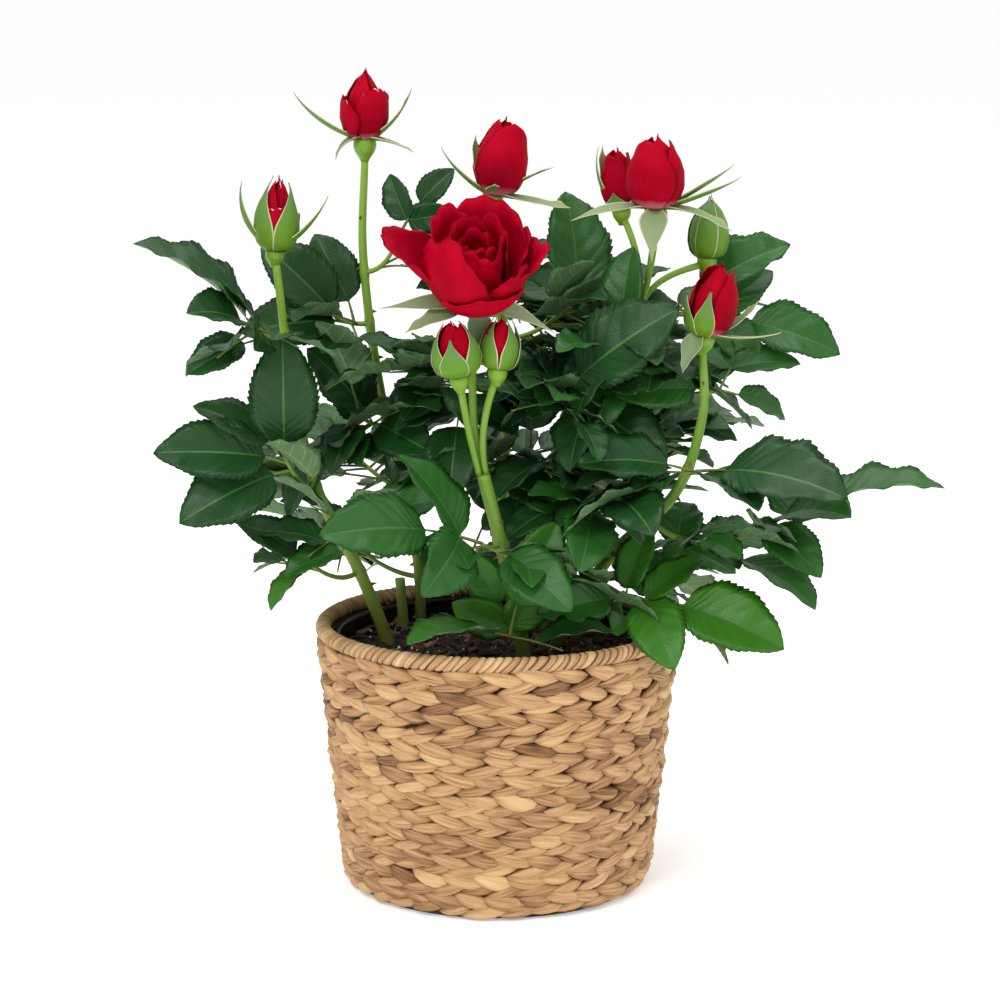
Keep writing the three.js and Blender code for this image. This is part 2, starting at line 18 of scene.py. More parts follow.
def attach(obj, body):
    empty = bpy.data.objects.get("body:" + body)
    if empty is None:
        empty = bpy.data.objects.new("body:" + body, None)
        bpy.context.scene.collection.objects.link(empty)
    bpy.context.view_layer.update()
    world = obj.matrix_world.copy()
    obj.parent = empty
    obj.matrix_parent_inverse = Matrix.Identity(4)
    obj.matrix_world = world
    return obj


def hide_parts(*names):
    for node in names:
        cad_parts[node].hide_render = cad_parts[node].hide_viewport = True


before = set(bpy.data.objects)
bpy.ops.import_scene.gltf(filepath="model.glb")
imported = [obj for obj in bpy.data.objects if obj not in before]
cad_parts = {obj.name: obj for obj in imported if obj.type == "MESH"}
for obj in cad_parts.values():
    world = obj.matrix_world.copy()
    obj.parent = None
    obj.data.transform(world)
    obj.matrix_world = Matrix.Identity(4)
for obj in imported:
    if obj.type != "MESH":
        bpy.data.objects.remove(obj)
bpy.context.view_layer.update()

MM = 0.001
WAVE = 6.28    # a whole wave, in radians

# ---- The plant ----

# Cane: points from the foot up, radius at the foot and at the tip.
CANES = {
    "left_cane": ([(-46, 10, 98), (-60, 0, 138), (-79, -10, 180), (-89, -12, 228), (-95, -10, 276)],
                  3.0, 1.7),
    "tall_cane": ([(-35, 55, 98), (-37, 49, 140), (-52, 32, 215), (-59, 26, 275), (-58, 25, 319)], 2.6, 1.6),
    "centre_cane": ([(13, -20, 98), (5, -34, 145), (-6, -45, 191)], 3.2, 2.8),
    "right_cane": ([(23, 8, 98), (48, -6, 145), (77, -20, 178), (88, -25, 212), (88, -25, 240)], 3.0, 1.7),
    "back_right_cane": ([(28, 32, 98), (36, 27, 150), (46, 21, 204), (62, 8, 256)], 2.8, 2.4),
    "back_cane": ([(-3, 60, 98), (2, 48, 155), (4, 33, 212), (-2, 8, 297)], 2.6, 1.6),
}

# Stub of a cane that was cut back: foot, top, radius.
STUBS = [((-42, 38, 100), (-44, 37, 128), 2.3), ((19, 4, 100), (23, 2, 119), 2.0)]

# Stalk of a fork: the cane it stands on, the side of the cane's tip it stands on, its end, radii.
STALKS = {
    "front_left_stalk": ("centre_cane", -150, (-15, -58, 229), 1.3, 1.6),
    "rose_stalk": ("centre_cane", 90, (-9, -44, 256), 1.4, 1.9),
    "front_right_stalk": ("centre_cane", -30, (-1, -52, 231), 1.3, 1.6),
    "right_bud_stalk": ("back_right_cane", -75, (68, -5, 292), 1.3, 1.8),
    "right_back_stalk": ("back_right_cane", 165, (56, 18, 292), 1.2, 1.5),
    "green_bud_stalk": ("back_right_cane", 45, (88, 13, 273), 1.2, 1.5),
}
JOINT_GAP = 0.3       # between a cane's tip and its stalks, and between a stalk and its hip
FORK_SPREAD = 1.75    # from the cane's axis to a stalk's foot

# Bloom: stalk, heading and rise of its axis, width and height of the petals, radius of the hip, how far
# its petals have opened.
BLOOMS = {
    "left_bud": ("left_cane", (0, 86), (19, 32), 3.6, 0.08),
    "tall_bud": ("tall_cane", (0, 89), (22.5, 32), 4.4, 0.25),
    "centre_back_bud": ("back_cane", (0, 80), (25, 35), 4.2, 0.9),
    "front_left_bud": ("front_left_stalk", (180, 82), (19, 24), 3.6, 0.2),
    "front_right_bud": ("front_right_stalk", (0, 86), (15, 22), 3.6, 0.1),
    "right_bud": ("right_bud_stalk", (0, 89), (27, 33), 4.4, 0.5),
    "right_back_bud": ("right_back_stalk", (180, 86), (18, 27), 3.6, 0.7),
    "green_bud": ("green_bud_stalk", (0, 88), (15.5, 25), 3.8, 0),
    "far_right_bud": ("right_cane", (0, 77), (22, 33), 4.2, 0.4),
    "open_rose": ("rose_stalk", (-92, 62), (13, 26), 4.6, 0.4),
}
FRAYED = ("left_bud", "tall_bud")    # buds whose outer petals have a pale torn edge

# Sepal that stands off: azimuth round the bloom's axis (-90 is the front), lean from the axis at its foot
# and at its tip, length, half width.
SEPALS = {
    "left_bud": [(194, 58, -8, 33, 2.6), (-24, 56, 22, 34, 2.6)],
    "tall_bud": [(196, 74, 34, 36, 2.8), (-16, 58, 16, 30, 3), (215, 84, 170, 16, 2.8),
                 (-34, 88, 112, 24, 2.6), (95, 70, 40, 24, 3)],
    "centre_back_bud": [(200, 70, 38, 30, 3.2), (160, 40, 2, 26, 3.2), (-6, 40, 62, 27, 4),
                        (-25, 86, 88, 34, 3), (-95, 60, 84, 18, 3)],
    "right_bud": [(-97, 120, 172, 27, 6), (202, 82, 112, 37, 3.4), (-24, 84, 124, 33, 3),
                  (12, 66, 50, 37, 4.4), (-4, 74, 58, 36, 3.6)],
    "right_back_bud": [(197, 44, -22, 30, 3), (160, 30, -14, 28, 3), (30, 50, 30, 22, 3)],
    "far_right_bud": [(232, 140, 176, 19, 5), (-24, 84, 58, 32, 3), (20, 60, 26, 26, 3)],
    "open_rose": [(190, 80, 90, 38, 4.8), (208, 88, 104, 31, 6), (-14, 100, 118, 33, 5.4),
                  (278, 146, 172, 21, 5), (90, 100, 110, 24, 4)],
}
# Sepal that still wraps its bud: azimuth, how far it reaches round to each side, share of the bud's
# height it covers, how far its tip stands off. Below 0 the tip closes over the bud.
WRAPPED_SEPALS = {
    "left_bud": [(222, 46, 1.02, 1.0), (-48, 46, 0.95, 3.0), (80, 46, 0.95, 2.0)],
    "front_left_bud": [(200, 46, 0.98, 0.6), (-22, 46, 1.0, 0.8), (262, 40, 0.72, 0.2), (130, 46, 0.95, 1),
                       (55, 46, 0.95, 1)],
    "front_right_bud": [(222, 46, 1.1, 0.8), (-40, 46, 1.1, 0.6), (150, 46, 1.0, 1), (85, 46, 1.0, 1),
                        (20, 46, 1.0, 1)],
    "right_back_bud": [(250, 40, 0.3, 0.6), (-30, 40, 0.35, 1.0)],
    "green_bud": [(200, 50, 1.1, -1.6), (-88, 50, 1.12, -1.9), (-20, 50, 1.14, -2.2), (130, 50, 1.08, -2.5),
                  (55, 50, 1.1, -2.8)],
    "far_right_bud": [(-104, 27, 0.62, 1.2), (204, 30, 0.5, 1.5)],
}

# Petal of the open rose: azimuth round its axis (-90 is down at the front), lean from the axis at
# the foot and at the lip, length, width.
OUTER_PETALS = [
    (177, 60, 28, 49, 34), (232, 84, -44, 51, 40), (284, 94, 6, 29, 42), (322, 82, -8, 37, 28),
    (6, 64, 26, 37, 38), (74, 50, 4, 43, 46), (132, 48, -2, 42, 32), (34, 52, 24, 35, 30),
]
INNER_PETALS = [
    (200, 52, -22, 36, 28), (262, 56, -30, 35, 27), (318, 46, -26, 32, 25), (350, 44, -18, 36, 26),
    (50, 38, -14, 39, 30), (110, 36, -16, 38, 28), (155, 40, -20, 36, 26), (225, 34, -24, 31, 20),
    (300, 34, -26, 31, 20), (20, 30, -24, 33, 20), (90, 28, -22, 34, 22),
]

# Spray: cane, share of the cane it stands at, heading, rise, length, seed, tint of its leaves, its
# listed leaves. Leaf: share of the twig it starts at, heading, rise, reach, leaflets, length of the end
# leaflet, roll about its own line.
Spray = namedtuple("Spray", "cane at turn rise length seed tint leaves")
SPRAYS = {name: Spray(*row) for name, row in {
    "left_top": ("left_cane", 0.84, -140, 20, 14, 3, "deep", [
        (1.0, -168, 36, 64, 3, 58, -15), (0.7, -128, 16, 50, 3, 34, -40),
        (0.4, -165, -22, 40, 1, 28, -50)]),
    "left_front": ("left_cane", 0.5, -125, 40, 26, 5, "deep", [
        (1.0, 95, 86, 52, 1, 47, 0), (0.9, -170, 6, 58, 1, 48, -60), (0.8, -160, -22, 54, 1, 46, -50),
        (0.95, 178, 30, 46, 1, 36, -30)]),
    "left_low": ("left_cane", 0.26, -140, 22, 30, 7, "fresh", [
        (1.0, -165, 30, 34, 1, 30, -50), (0.9, -140, -40, 28, 1, 24, 0)]),
    "left_inner": ("left_cane", 0.38, -60, 15, 16, 9, "mid", [
        (1.0, -60, 30, 44, 3, 36, 0), (0.5, -20, 20, 46, 3, 36, 50)]),
    "tall_left": ("tall_cane", 0.62, -160, 15, 14, 10, "deep", [
        (1.0, 172, 44, 46, 3, 42, -60), (0.6, -165, -4, 48, 3, 42, -50), (0.4, 150, 62, 44, 1, 34, -50)]),
    "tall_middle": ("tall_cane", 0.45, -120, 20, 22, 11, "deep", [
        (1.0, -125, 56, 66, 3, 52, 0), (0.9, -110, -30, 52, 3, 44, 0), (0.5, -170, 50, 46, 3, 42, -60),
        (0.6, -50, -10, 44, 3, 38, 50)]),
    "tall_top": ("tall_cane", 0.72, -30, 45, 20, 13, "deep", [
        (1.0, 0, 50, 48, 3, 28, 70), (0.8, 0, 20, 40, 1, 30, 40)]),
    "front_low": ("centre_cane", 0.22, -105, 10, 16, 15, "fresh", [
        (1.0, -142, 4, 54, 3, 46, 0), (0.9, 20, 66, 54, 3, 40, 70), (0.6, 165, 60, 50, 3, 34, -70)]),
    "front_middle": ("centre_cane", 0.66, -120, 15, 14, 17, "mid", [
        (1.0, -150, 8, 78, 3, 50, -50), (0.6, -40, -25, 50, 3, 40, 40)]),
    "right_low": ("right_cane", 0.18, -60, 5, 30, 19, "fresh", [
        (1.0, -20, -14, 72, 3, 48, 45), (0.95, 40, 62, 44, 1, 40, 20), (0.9, -160, -5, 40, 1, 34, -60)]),
    "right_middle": ("right_cane", 0.4, -20, 5, 52, 21, "mid", [
        (1.0, -5, 12, 76, 3, 52, 8), (0.95, -45, -28, 38, 1, 34, 30), (0.5, -60, -12, 32, 3, 22, 0)]),
    "right_fork": ("right_cane", 0.58, -80, 10, 14, 23, "deep", [
        (1.0, -32, -4, 72, 3, 58, 30), (0.8, -60, -10, 50, 3, 44, 0), (0.9, -168, 6, 52, 3, 40, -40)]),
    "right_upper": ("right_cane", 0.84, 60, -5, 14, 25, "mid", [
        (1.0, 20, -25, 34, 3, 26, 40), (0.8, 100, 10, 50, 3, 44, 0), (0.5, -170, 0, 44, 3, 36, -60)]),
    "big_right": ("back_right_cane", 0.74, -118, 4, 46, 27, "deep", [
        (1.0, -8, 38, 84, 1, 70, 62), (0.8, -110, 14, 56, 3, 44, 0), (0.6, -30, -30, 50, 3, 46, 40)]),
    "far_right": ("back_right_cane", 0.92, 30, 20, 24, 29, "mid", [
        (1.0, 5, 30, 58, 3, 44, 40), (0.9, -10, -12, 76, 3, 42, 50)]),
    "top_centre": ("back_right_cane", 0.78, 140, 50, 26, 31, "blue", [
        (1.0, 110, 74, 62, 3, 50, 0), (0.8, 170, 20, 54, 3, 42, -60)]),
    "under_buds": ("back_right_cane", 0.88, -95, 10, 18, 32, "deep", [
        (1.0, 60, 76, 44, 3, 36, 0), (0.7, -140, -20, 44, 3, 38, -20), (0.6, -20, -20, 44, 3, 36, 30)]),
    "right_core": ("back_right_cane", 0.46, -80, 10, 30, 33, "deep", []),
    "low_core": ("back_right_cane", 0.26, -100, 15, 28, 34, "mid", []),
    "centre_core": ("back_cane", 0.5, -70, 20, 32, 35, "deep", [(1.0, 80, 76, 62, 3, 54, 10)]),
    "centre_right": ("back_cane", 0.78, -15, 30, 34, 37, "deep", []),
    "centre_left": ("back_cane", 0.68, -150, 20, 28, 39, "deep", []),
    "back_left": ("tall_cane", 0.35, 140, 25, 34, 41, "mid", []),
    "back_middle": ("back_cane", 0.4, 90, 20, 34, 43, "deep", []),
    "back_right": ("back_right_cane", 0.52, 50, 20, 36, 45, "mid", []),
    "back_top": ("back_cane", 0.8, 80, 35, 30, 47, "deep", []),
    "back_low": ("back_cane", 0.15, 110, 10, 34, 49, "mid", []),
    "right_back_low": ("back_right_cane", 0.2, 15, 15, 36, 51, "mid", []),
    "left_back_low": ("tall_cane", 0.18, 165, 25, 32, 53, "mid", []),
}.items()}

# Leaves that a spray grows by chance beside its listed ones: how many, and their size.
GROWN = {
    "right_core": (3, 46), "low_core": (3, 42), "centre_core": (2, 44), "centre_right": (3, 44),
    "centre_left": (3, 42), "back_left": (3, 42), "back_middle": (3, 44), "back_right": (3, 44),
    "back_top": (3, 40), "back_low": (2, 40), "right_back_low": (3, 40), "left_back_low": (3, 36),
}

# Finer leaves that a spray tries to place among its large ones. The others try USUAL_FINER.
FINER = {
    "centre_core": 12, "centre_right": 12, "centre_left": 10, "right_core": 10, "low_core": 8,
    "under_buds": 10,
    "big_right": 9, "top_centre": 8, "back_middle": 9, "back_right": 9, "back_top": 9, "back_left": 7,
    "tall_middle": 5, "tall_left": 4, "left_top": 2, "left_low": 2, "left_front": 3, "far_right": 5,
    "right_middle": 4, "right_low": 4, "front_low": 4, "front_middle": 5,
}
USUAL_FINER = 4

# ---- Directions, curves and chance ----


def vector(*coordinates):
    return np.array(coordinates, float)


def unit(v):
    return v / np.linalg.norm(v, axis=-1, keepdims=True)


def heading(degrees, rise=0.0):
    turn, lift = math.radians(degrees), math.radians(rise)
    return vector(math.cos(turn) * math.cos(lift), math.sin(turn) * math.cos(lift), math.sin(lift))


def spun(v, axis, degrees):
    """v turned about a unit axis."""
    angle = math.radians(degrees)
    return (v * math.cos(angle) + np.cross(axis, v) * math.sin(angle)
            + axis * np.dot(axis, v) * (1 - math.cos(angle)))


def upper_side(degrees, rise, roll):
    """The upper side of a leaf that points along heading(degrees, rise)."""
    return spun(heading(degrees, rise + 90), heading(degrees, rise), roll)


def square(direction, axis):
    """What is left of a direction at a right angle to an axis."""
    return unit(direction - axis * np.dot(direction, axis))


def seeded(seed):
    """A mulberry32 stream of numbers from 0 to 1."""
    whole = 0xFFFFFFFF
    state = seed

    def draw():
        nonlocal state
        state = (state + 0x6D2B79F5) & whole
        mixed = (state ^ (state >> 15)) * (state | 1) & whole
        mixed = (mixed + (mixed ^ (mixed >> 7)) * (mixed | 61) & whole) & whole ^ mixed
        return ((mixed ^ (mixed >> 14)) & whole) / 4294967296

    return draw


def phases(draw, count):
    """Where waves start."""
    return [WAVE * draw() for _ in range(count)]


def ring_angles(sides):
    return np.arange(sides) * math.tau / sides


def polar(turn, radius, height):
    """Points at an angle round +Z, a distance from it and a height."""
    return np.stack([np.cos(turn) * radius, np.sin(turn) * radius, height + 0 * turn], axis=-1)


class Line:
    """A curve, from a function of a number from 0 to 1."""

    def __init__(self, point):
        self.point = point

    def tangent(self, t):
        return unit(self.point(min(1, t + 1e-4)) - self.point(max(0, t - 1e-4)))


def bezier(start, bend, end):
    return Line(lambda t: start * (1 - t) ** 2 + bend * 2 * t * (1 - t) + end * t ** 2)


def spline(points):
    """A Catmull-Rom curve, carried straight on beyond its ends."""
    knots = [np.array(p, float) for p in points]
    knots = [2 * knots[0] - knots[1], *knots, 2 * knots[-1] - knots[-2]]
    spans = len(knots) - 3

    def point(t):
        k = min(int(t * spans), spans - 1)
        s = t * spans - k
        before, a, b, after = knots[k:k + 4]
        slope_a, slope_b = (b - before) / 2, (after - a) / 2
        return (a + slope_a * s + (3 * (b - a) - 2 * slope_a - slope_b) * s ** 2
                + (2 * (a - b) + slope_a + slope_b) * s ** 3)

    return Line(point)


# ---- Meshes ----


def quads(index):
    """The faces of a grid of vertex numbers, seen where its rows run up and its columns right."""
    corners = (index[:-1, :-1], index[:-1, 1:], index[1:, 1:], index[1:, :-1])
    return np.stack([c.ravel() for c in corners], axis=1)


class Patchwork:
    """Closed shells that become one piece. A face is four vertex numbers, or three and a -1."""

    def __init__(self, looks):
        self.looks = looks
        self.vertices, self.faces, self.slots, self.places = [], [], [], []
        self.count = 0

    def add(self, vertices, faces, slots, places=None):
        self.vertices.append(vertices)
        self.faces.append(np.where(faces < 0, -1, faces + self.count))
        self.slots.append(np.broadcast_to(slots, len(faces)))
        self.places.append(np.zeros_like(vertices) if places is None else places)
        self.count += len(vertices)

    def triangles(self):
        return sum(int((f >= 0).sum() - 2 * len(f)) for f in self.faces)

    def mesh(self, name):
        vertices = np.concatenate(self.vertices) * MM
        faces = np.concatenate(self.faces)
        filled = faces >= 0
        sizes = filled.sum(axis=1)
        mesh = bpy.data.meshes.new(name)
        mesh.vertices.add(len(vertices))
        mesh.vertices.foreach_set("co", vertices.ravel())
        mesh.loops.add(int(sizes.sum()))
        mesh.loops.foreach_set("vertex_index", faces[filled])
        mesh.polygons.add(len(faces))
        mesh.polygons.foreach_set("loop_start", np.cumsum(sizes) - sizes)
        mesh.polygons.foreach_set("material_index", np.concatenate(self.slots).astype(np.int32))
        mesh.polygons.foreach_set("use_smooth", np.ones(len(faces), bool))
        place = mesh.attributes.new("place", "FLOAT_VECTOR", "POINT")
        place.data.foreach_set("vector", np.concatenate(self.places).ravel())
        mesh.update(calc_edges=True)
        for look in self.looks:
            mesh.materials.append(look)
        return mesh

    def piece(self, name, slot, *nodes):
        """The finished object, riding on the pot, in place of the CAD nodes named."""
        return settled(bpy.data.objects.new(name, self.mesh(name)), slot, *nodes)


def settled(piece, slot, *nodes):
    """Links a finished piece, hangs it on the root body and hides the CAD nodes it replaces."""
    if piece.name not in bpy.context.scene.collection.objects:
        bpy.context.scene.collection.objects.link(piece)
    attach(piece, "root")
    if nodes:
        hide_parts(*nodes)
    return piece


def two_sided(work, front, thickness, front_slots, back_slots, tone=0.0):
    """Adds a thin sheet: a grid of points, and a back that lies behind it and shares its rim."""
    rows, columns = front.shape[:2]
    normal = unit(np.cross(np.gradient(front, axis=1), np.gradient(front, axis=0)))
    back = front - normal * thickness
    index = np.arange(rows * columns).reshape(rows, columns)
    behind = index.copy()
    behind[1:-1, 1:-1] = rows * columns + np.arange((rows - 2) * (columns - 2)).reshape(rows - 2, columns - 2)
    vertices = np.concatenate([front.reshape(-1, 3), back[1:-1, 1:-1].reshape(-1, 3)])
    along, across = np.meshgrid(np.linspace(0, 1, rows), np.linspace(-1, 1, columns), indexing="ij")
    places = np.stack([across, along, np.full_like(along, tone)], axis=-1)
    places = np.concatenate([places.reshape(-1, 3), places[1:-1, 1:-1].reshape(-1, 3)])
    faces = np.concatenate([quads(index), quads(behind)[:, [0, 3, 2, 1]]])
    cells = (rows - 1) * (columns - 1)
    slots = np.concatenate([np.broadcast_to(front_slots, cells), np.broadcast_to(back_slots, cells)])
    work.add(vertices, faces, slots, places)


def loft(work, rings, slot):
    """Adds a closed skin over rings of points, with a point in the middle of each end."""
    rows, sides = rings.shape[:2]
    index = np.arange(rows * sides).reshape(rows, sides)
    around = np.concatenate([index, index[:, :1]], axis=1)
    foot, tip = rows * sides, rows * sides + 1
    fans = [np.stack([around[0, 1:], around[0, :-1], np.full(sides, foot), np.full(sides, -1)], axis=1),
            np.stack([around[-1, :-1], around[-1, 1:], np.full(sides, tip), np.full(sides, -1)], axis=1)]
    vertices = np.concatenate([rings.reshape(-1, 3), rings[:1].mean(axis=1), rings[-1:].mean(axis=1)])
    along = np.repeat(np.linspace(0, 1, rows), sides)
    across = np.tile(np.arange(sides) / sides, rows)
    places = np.concatenate([np.stack([across, along, 0 * along], axis=-1), [[0, 0, 0], [0, 1, 0]]])
    work.add(vertices, np.concatenate([quads(around), *fans]), slot, places)


def rings_along(line, radius, sides, rows):
    """Round sections along a line: radius(t, angle) may be uneven."""
    turns = ring_angles(sides)
    chord = unit(line.point(1) - line.point(0))
    across = vector(1, 0, 0) if abs(chord[2]) > 0.7 else vector(0, 0, 1)
    rings = []
    for t in np.linspace(0, 1, rows):
        right = square(across, line.tangent(t))
        up = np.cross(line.tangent(t), right)
        size = radius(t, turns)[:, None]
        rings.append(line.point(t) + size * (np.cos(turns)[:, None] * right + np.sin(turns)[:, None] * up))
    return np.array(rings)


def rod(work, line, thick, taper, sides, rows, slot):
    """Adds a round rod along a line, `taper` thinner at its tip than at its foot."""
    loft(work, rings_along(line, lambda t, turns: thick - taper * t + 0 * turns, sides, rows), slot)


def revolved(work, outline, sides, slot, place=lambda points: points):
    """Adds a body of revolution, from (radius, height) pairs that start and end near the axis."""
    rings = [polar(ring_angles(sides), radius, height) for radius, height in outline]
    loft(work, place(np.array(rings)), slot)


# ---- Blades: leaflets, sepals and petals ----


class Blade:
    """A midline that is an arc from `base`, turning by `curl` degrees away from its upper side."""

    def __init__(self, base, chord, normal, length, curl):
        self.base, self.length, self.curl = base, length, math.radians(curl)
        side = square(normal, chord)
        self.start = chord * math.cos(self.curl / 2) + side * math.sin(self.curl / 2)
        self.up = square(side, self.start)
        self.across = np.cross(self.start, self.up)

    def middle(self, t):
        """Points of the midline and the upper side there, for an array of shares."""
        turned = (self.curl * t)[..., None]
        ahead = self.start * np.sin(turned) / self.curl
        down = self.up * (1 - np.cos(turned)) / self.curl
        point = self.base + self.length * (ahead - down)
        return point, self.start * np.sin(turned) + self.up * np.cos(turned)

    def tip(self):
        return self.middle(np.array([1.0]))[0][0]

    def shrunk(self, share):
        smaller = copy.copy(self)
        smaller.length = self.length * share
        return smaller


def profile(t, rise, fall):
    """t^rise (1 - t)^fall, scaled to 1 at its widest."""
    widest = rise / (rise + fall)
    return t ** rise * (1 - t) ** fall / (widest ** rise * (1 - widest) ** fall)


def smooth(low, high, x):
    s = np.clip((x - low) / (high - low), 0, 1)
    return s * s * (3 - 2 * s)


# ---- Leaves ----

LEAF_FOLD = 16
LEAF_CURL = 34
LEAF_WIDTH = 0.32                 # half width over length
LEAF_RISE, LEAF_FALL = 0.6, 0.85  # how a leaflet widens from its foot and narrows to its tip
LEAF_SHEET = 0.22                 # thickness of a leaflet's blade
LEAF_GAP = 0.35                   # between a twig's foot and its cane
PAIR_ANGLE = 54                   # between a leaflet of a pair and the leaf's stalk
PAIR_SIZE, PAIR_SHRINK = 0.86, 0.8    # length of the first pair over the end leaflet's, and of the next
PAIR_BACK, PAIR_STEP = 0.34, 0.52     # how far behind the end leaflet the pairs stand, over its length
LAST_PAIR = 0.12                  # share of the stalk below which no pair stands
STALK_COLUMN = 0.035              # half width of the midrib over the half width of the leaflet
COLUMNS = np.array([-1, -0.72, -0.38, -STALK_COLUMN, STALK_COLUMN, 0.38, 0.72, 1])
MARGIN = COLUMNS ** 2 > 0.99      # the two columns that carry the teeth
VEIN_FORWARD = 0.42               # how far a side vein runs towards the tip on its way to the margin
TEETH = [  # rows of one vein's stretch of margin: share of it, how far out the tooth is, vein, swell
    (0.0, 0.0, 0, 1.0), (0.26, 0.7, 0, 0.6), (0.42, 1.0, 1, 0.0), (0.50, 0.9, 0, 0.0),
    (0.54, 0.0, 0, 0.1), (0.78, 0.7, 0, 1.0), (0.95, 1.0, 0, 1.0),
]
TOOTH, QUILT = 0.06, 0.008        # depth of a tooth over the half width, height of a swell over the length
# The third tint is a brighter yellow-green: painted light shining through the low leaves.
TINTS = ("deep", "mid", "fresh", "blue")
TOP_VEIN, UNDER, UNDER_VEIN = len(TINTS), len(TINTS) + 1, len(TINTS) + 2
GROWN_REACH, FINER_REACH = 1.7, 1.75  # reach of a leaf grown by chance over the length of its end leaflet
CROWN_REACH = 15                  # a finer leaflet stays this near to the masses' large leaves
LEAF_ROOM = 1.2                   # and this far from their surface
LIMB_ROOM = 3                     # and from canes, blooms and pot
ON_MASS = 0.06                    # farthest that the tip of a fitting leaflet lies from its mass
TWIG, LEAF_STALK, FINER_STALK = (1.25, 0.4, 7, 12), (0.8, 0.35, 6, 12), (0.65, 0.25, 5, 9)    # as rods
OWN_TINT, FINER_OWN_TINT = 0.72, 0.6  # share of leaves in their spray's tint; the rest are deep or mid
FINER_SIZE, FINER_GROWTH = 27, 15     # length of the smallest finer leaflet, and what chance adds


def planned_leaf(start, leaf, draw):
    """A compound leaf: an arching stalk that ends in one leaflet, with pairs behind it."""
    _, degrees, rise, reach, count, length, roll = leaf
    out = heading(degrees, rise)
    upper = upper_side(degrees, rise, roll)
    end = start + out * reach
    arch = start + out * reach / 2 + upper_side(degrees, rise, 0) * 0.13 * reach
    share = 1 - length / reach
    knee = bezier(start, arch, end).point(share)
    stalk = bezier(start, start + (arch - start) * share, knee)
    onward = end - knee
    chord_length = np.linalg.norm(onward)
    arc = math.radians(LEAF_CURL / 2) / math.sin(math.radians(LEAF_CURL / 2))
    leaflets = [Blade(knee, onward / chord_length, upper, chord_length * arc, LEAF_CURL)]
    back, size = PAIR_BACK * length, PAIR_SIZE * length
    for _ in range((count - 1) // 2):
        at = 1 - back / (reach * share)
        chances = [(way, draw(), draw(), draw()) for way in (-1, 1)]
        if at < LAST_PAIR:
            break
        along = stalk.tangent(at)
        up = square(upper, along)
        right = np.cross(along, up)
        for way, turn, tilt, grow in chances:
            angle = math.radians(PAIR_ANGLE + 12 * (turn - 0.5))
            chord = along * math.cos(angle) + right * way * math.sin(angle)
            normal = up + right * 0.18 * way + along * 0.25 * (tilt - 0.5)
            leaflets.append(Blade(stalk.point(at), chord, normal, size * (0.92 + 0.16 * grow), LEAF_CURL))
        back += PAIR_STEP * length
        size *= PAIR_SHRINK
    return stalk, leaflets


def chance_leaves(more, size, degrees, rise, draw):
    """The leaves that a spray grows by chance on alternate sides."""
    grown = []
    for i in range(more):
        turn, lift, grow, roll = draw(), draw(), draw(), draw()
        side = 0.3 * (turn - 0.5) if i == more - 1 else (1 if i % 2 else -1) * (0.25 + 0.75 * turn)
        length = size * (0.85 + 0.3 * grow)
        grown.append((0.35 + 0.65 * (i + 1) / more, degrees + 70 * side, rise - 34 + 44 * (lift - 0.5),
                      length * GROWN_REACH, 3, length, 60 * (roll - 0.5)))
    return grown


def margin_rows(veins):
    """Rows of a leaflet: place along the margin, how far out the tooth stands, whether a vein runs there and
    how far the blade swells between veins."""
    first, last = 0.05, 0.965
    stretch = (last - first) / veins
    rows = [(0.0, 0, 0, 0), (0.02, 0, 0, 0)]
    rows += [(first + stretch * (v + share), *row) for v in range(veins) for share, *row in TEETH]
    rows += [(last, 0, 0, 0), (1.0, 0, 0, 0)]
    return np.array(rows).T


def leaflet(work, blade, tint, draw):
    """Adds one toothed leaflet with its side veins, quilted between them."""
    veins = 5 + int(blade.length > 26) + int(blade.length > 34) + int(blade.length > 44)
    margin, tooth, vein, swell = margin_rows(veins)
    rib = np.linspace(0, 1, 400)
    reached = rib + VEIN_FORWARD * (1 - rib) * (1 - np.exp(-rib / 0.08))
    start = np.interp(margin, reached, rib)
    out = np.abs(COLUMNS)
    t = start[:, None] + out ** 1.15 * (margin - start)[:, None]
    forward = 0.35 * np.append(np.diff(margin), 0) * tooth
    t = np.clip(t + MARGIN * forward[:, None], 0, 0.9995)
    width = LEAF_WIDTH * (0.94 + 0.12 * draw()) * blade.length
    half = width * profile(t, LEAF_RISE, LEAF_FALL) * smooth(0.0, 0.07, t + 0.012)
    half *= 1 + MARGIN * (TOOTH * tooth - 0.02)[:, None]
    half = np.maximum(half, 0.28 - 0.2 * t)
    point, upper = blade.middle(t)
    fold = math.radians(LEAF_FOLD * (0.7 + 0.6 * draw()))
    side = COLUMNS * half
    [phase], height, waves = phases(draw, 1), 0.016 + 0.018 * draw(), 2.2 + 1.4 * draw()
    wave = height * blade.length * out ** 2 * np.sin(WAVE * waves * t + phase + (COLUMNS > 0) * 1.9)
    wave *= smooth(0.02, 0.25, t) * smooth(1.0, 0.8, t)
    quilt = swell[:, None] * np.sin(math.pi * np.clip(out, 0, 1)) ** 0.7 * QUILT * blade.length
    quilt *= smooth(0.02, 0.2, t) * smooth(1.0, 0.75, t)
    lift = np.abs(side) * math.sin(fold) + wave + quilt
    grid = point + blade.across * (side * math.cos(fold))[..., None] + upper * lift[..., None]
    rows, columns = t.shape
    ribs = np.zeros((rows - 1, columns - 1), bool)
    ribs[:, columns // 2 - 1] = True
    veined = ribs | (vein[:-1] > 0)[:, None] & (np.abs(COLUMNS[:-1] + COLUMNS[1:]) < 1.5)
    top = np.where(ribs, TOP_VEIN, TINTS.index(tint)).ravel()
    under = np.where(veined, UNDER_VEIN, UNDER).ravel()
    two_sided(work, grid, LEAF_SHEET, top, under)


